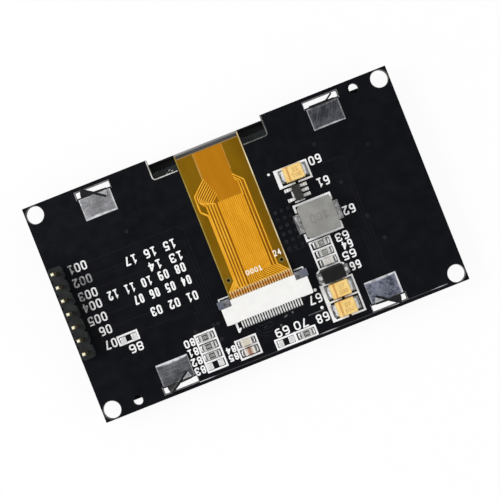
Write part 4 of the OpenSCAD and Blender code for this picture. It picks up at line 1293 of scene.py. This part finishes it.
def cable_edges():
    """The cut edges of the film, with painted highlights on them, stronger on the right."""
    left, right = Shape(), Shape()
    for shape, x in ((left, CABLE_LOW.x + 0.12), (right, CABLE_HIGH.x - 0.12)):
        trace(shape, [(x, MOUTH_Y + 0.05), (x, BEND_Y + 1.3)], 0.22, round_ends=False)
    # Painted highlights along both edges, lighter on the right
    copper_pieces((left, "edge_left", (140, 118, 44), (176, 154, 84)),
                  (right, "edge_right", (188, 164, 104), (240, 226, 186)))


def cable_marks():
    """Rings of the two small holes, and plain numbers in white."""
    rings, marks = Shape(), Shape()
    for s in (-1, 1):
        disc(rings, CABLE_X + s * 5.2, -5.0, 0.52, TRACE, on_cable, hole=0.3, sides=28)
    number(marks, "24", 4.75, -3.5, 1.15, 0.82, 0.2, MARK, on_cable, way=1)
    number(marks, "0001", -0.35, -4.95, 0.95, 0.82, 0.2, MARK, on_cable, way=1)
    copper_pieces((rings, "hole_rings", (112, 98, 40), (142, 124, 62)))
    white = moulded_plastic("cable_ink", (244, 234, 212), (252, 248, 238), 0.5, 14, 0.004)
    marks.piece("cable_numbers", white)


# Stage


def make_floor():
    """A white floor, see-through from below so that the display face can be looked at."""
    f = Finish("floor", base_color=srgb(252, 252, 252), roughness=0.9)
    light = f.tree.nodes.new("ShaderNodeLightPath")
    seen = f.most(*[light.outputs[f"Is {kind} Ray"] for kind in ("Camera", "Glossy", "Transmission")])
    white = f.node("Emission", {"Color": srgb(255, 255, 255), "Strength": 1.0})
    lit = f.node("MixShader", {0: f.both(seen, 0.92), 1: f.shader.outputs[0], 2: white})
    geometry = f.tree.nodes.new("ShaderNodeNewGeometry")
    clear = f.node("BsdfTransparent", {})
    shown = f.node("MixShader", {0: geometry.outputs["Backfacing"], 1: lit, 2: clear})
    f.tree.links.new(shown, f.tree.nodes["Material Output"].inputs["Surface"])
    half = 1.5
    corners = [(-half, -half, 0), (half, -half, 0), (half, half, 0), (-half, half, 0)]
    mesh = bpy.data.meshes.new("floor")
    mesh.from_pydata(corners, [], [(0, 1, 2, 3)])
    mesh.materials.append(f.material)
    floor = add_object("floor", mesh)
    floor.location.z = cad_box[0].z - 0.02 * MM


def make_world():
    """A soft white room whose ceiling is darker than its walls."""
    world = bpy.data.worlds.new("room")
    world.use_nodes = True
    tree = world.node_tree
    direction = tree.nodes.new("ShaderNodeTexCoord")
    split = tree.nodes.new("ShaderNodeSeparateXYZ")
    ramp = tree.nodes.new("ShaderNodeValToRGB")
    for stop, position, colour in zip(
        ramp.color_ramp.elements, (0.45, 0.93), ((1, 1, 1, 1), (0.22, 0.225, 0.235, 1))
    ):
        stop.position = position
        stop.color = colour
    background = tree.nodes["Background"]
    tree.links.new(direction.outputs["Generated"], split.inputs[0])
    tree.links.new(split.outputs["Z"], ramp.inputs[0])
    tree.links.new(ramp.outputs[0], background.inputs["Color"])
    background.inputs["Strength"].default_value = 1.0
    bpy.context.scene.world = world


def add_lamp(name, place, size, power):
    """A soft square lamp that faces the board."""
    data = bpy.data.lights.new(name, "AREA")
    data.size = size
    data.energy = power
    lamp = add_object(name, data)
    lamp.location = place
    lamp.rotation_mode = "QUATERNION"
    lamp.rotation_quaternion = Vector(place).to_track_quat("Z", "Y")


def make_camera():
    """Straight above the board, turned as in the photograph."""
    view_mm = 91.4
    turn = -21.64
    distance = 300 * MM
    middle = Vector((0.34, -1.27)) * MM
    data = bpy.data.cameras.new("camera")
    data.sensor_width = 36
    data.lens = data.sensor_width * distance / (view_mm * MM)
    data.clip_start = 0.01
    camera = add_object("camera", data)
    camera.location = (middle.x, middle.y, BOARD_TOP * MM + distance)
    camera.rotation_euler = (0, 0, math.radians(turn))
    bpy.context.scene.camera = camera


def make_stage():
    make_floor()
    make_world()
    add_lamp("key", (-0.34, 0.16, 0.36), 0.22, 1.15)
    add_lamp("fill", (0.38, -0.2, 0.34), 0.3, 0.55)
    make_camera()
    bpy.context.scene.view_settings.view_transform = "Standard"


make_stage()
finish_display()
finish_connections()
finish_chips()
finish_parts()
print_board()
print_parts()
buried_copper()
board_edges()
corner_rims()
solder_joints()
tab_pads()
pin_rings()
painted_glint_specks()
cable_grounds()
cable_traces()
cable_edges()
cable_marks()
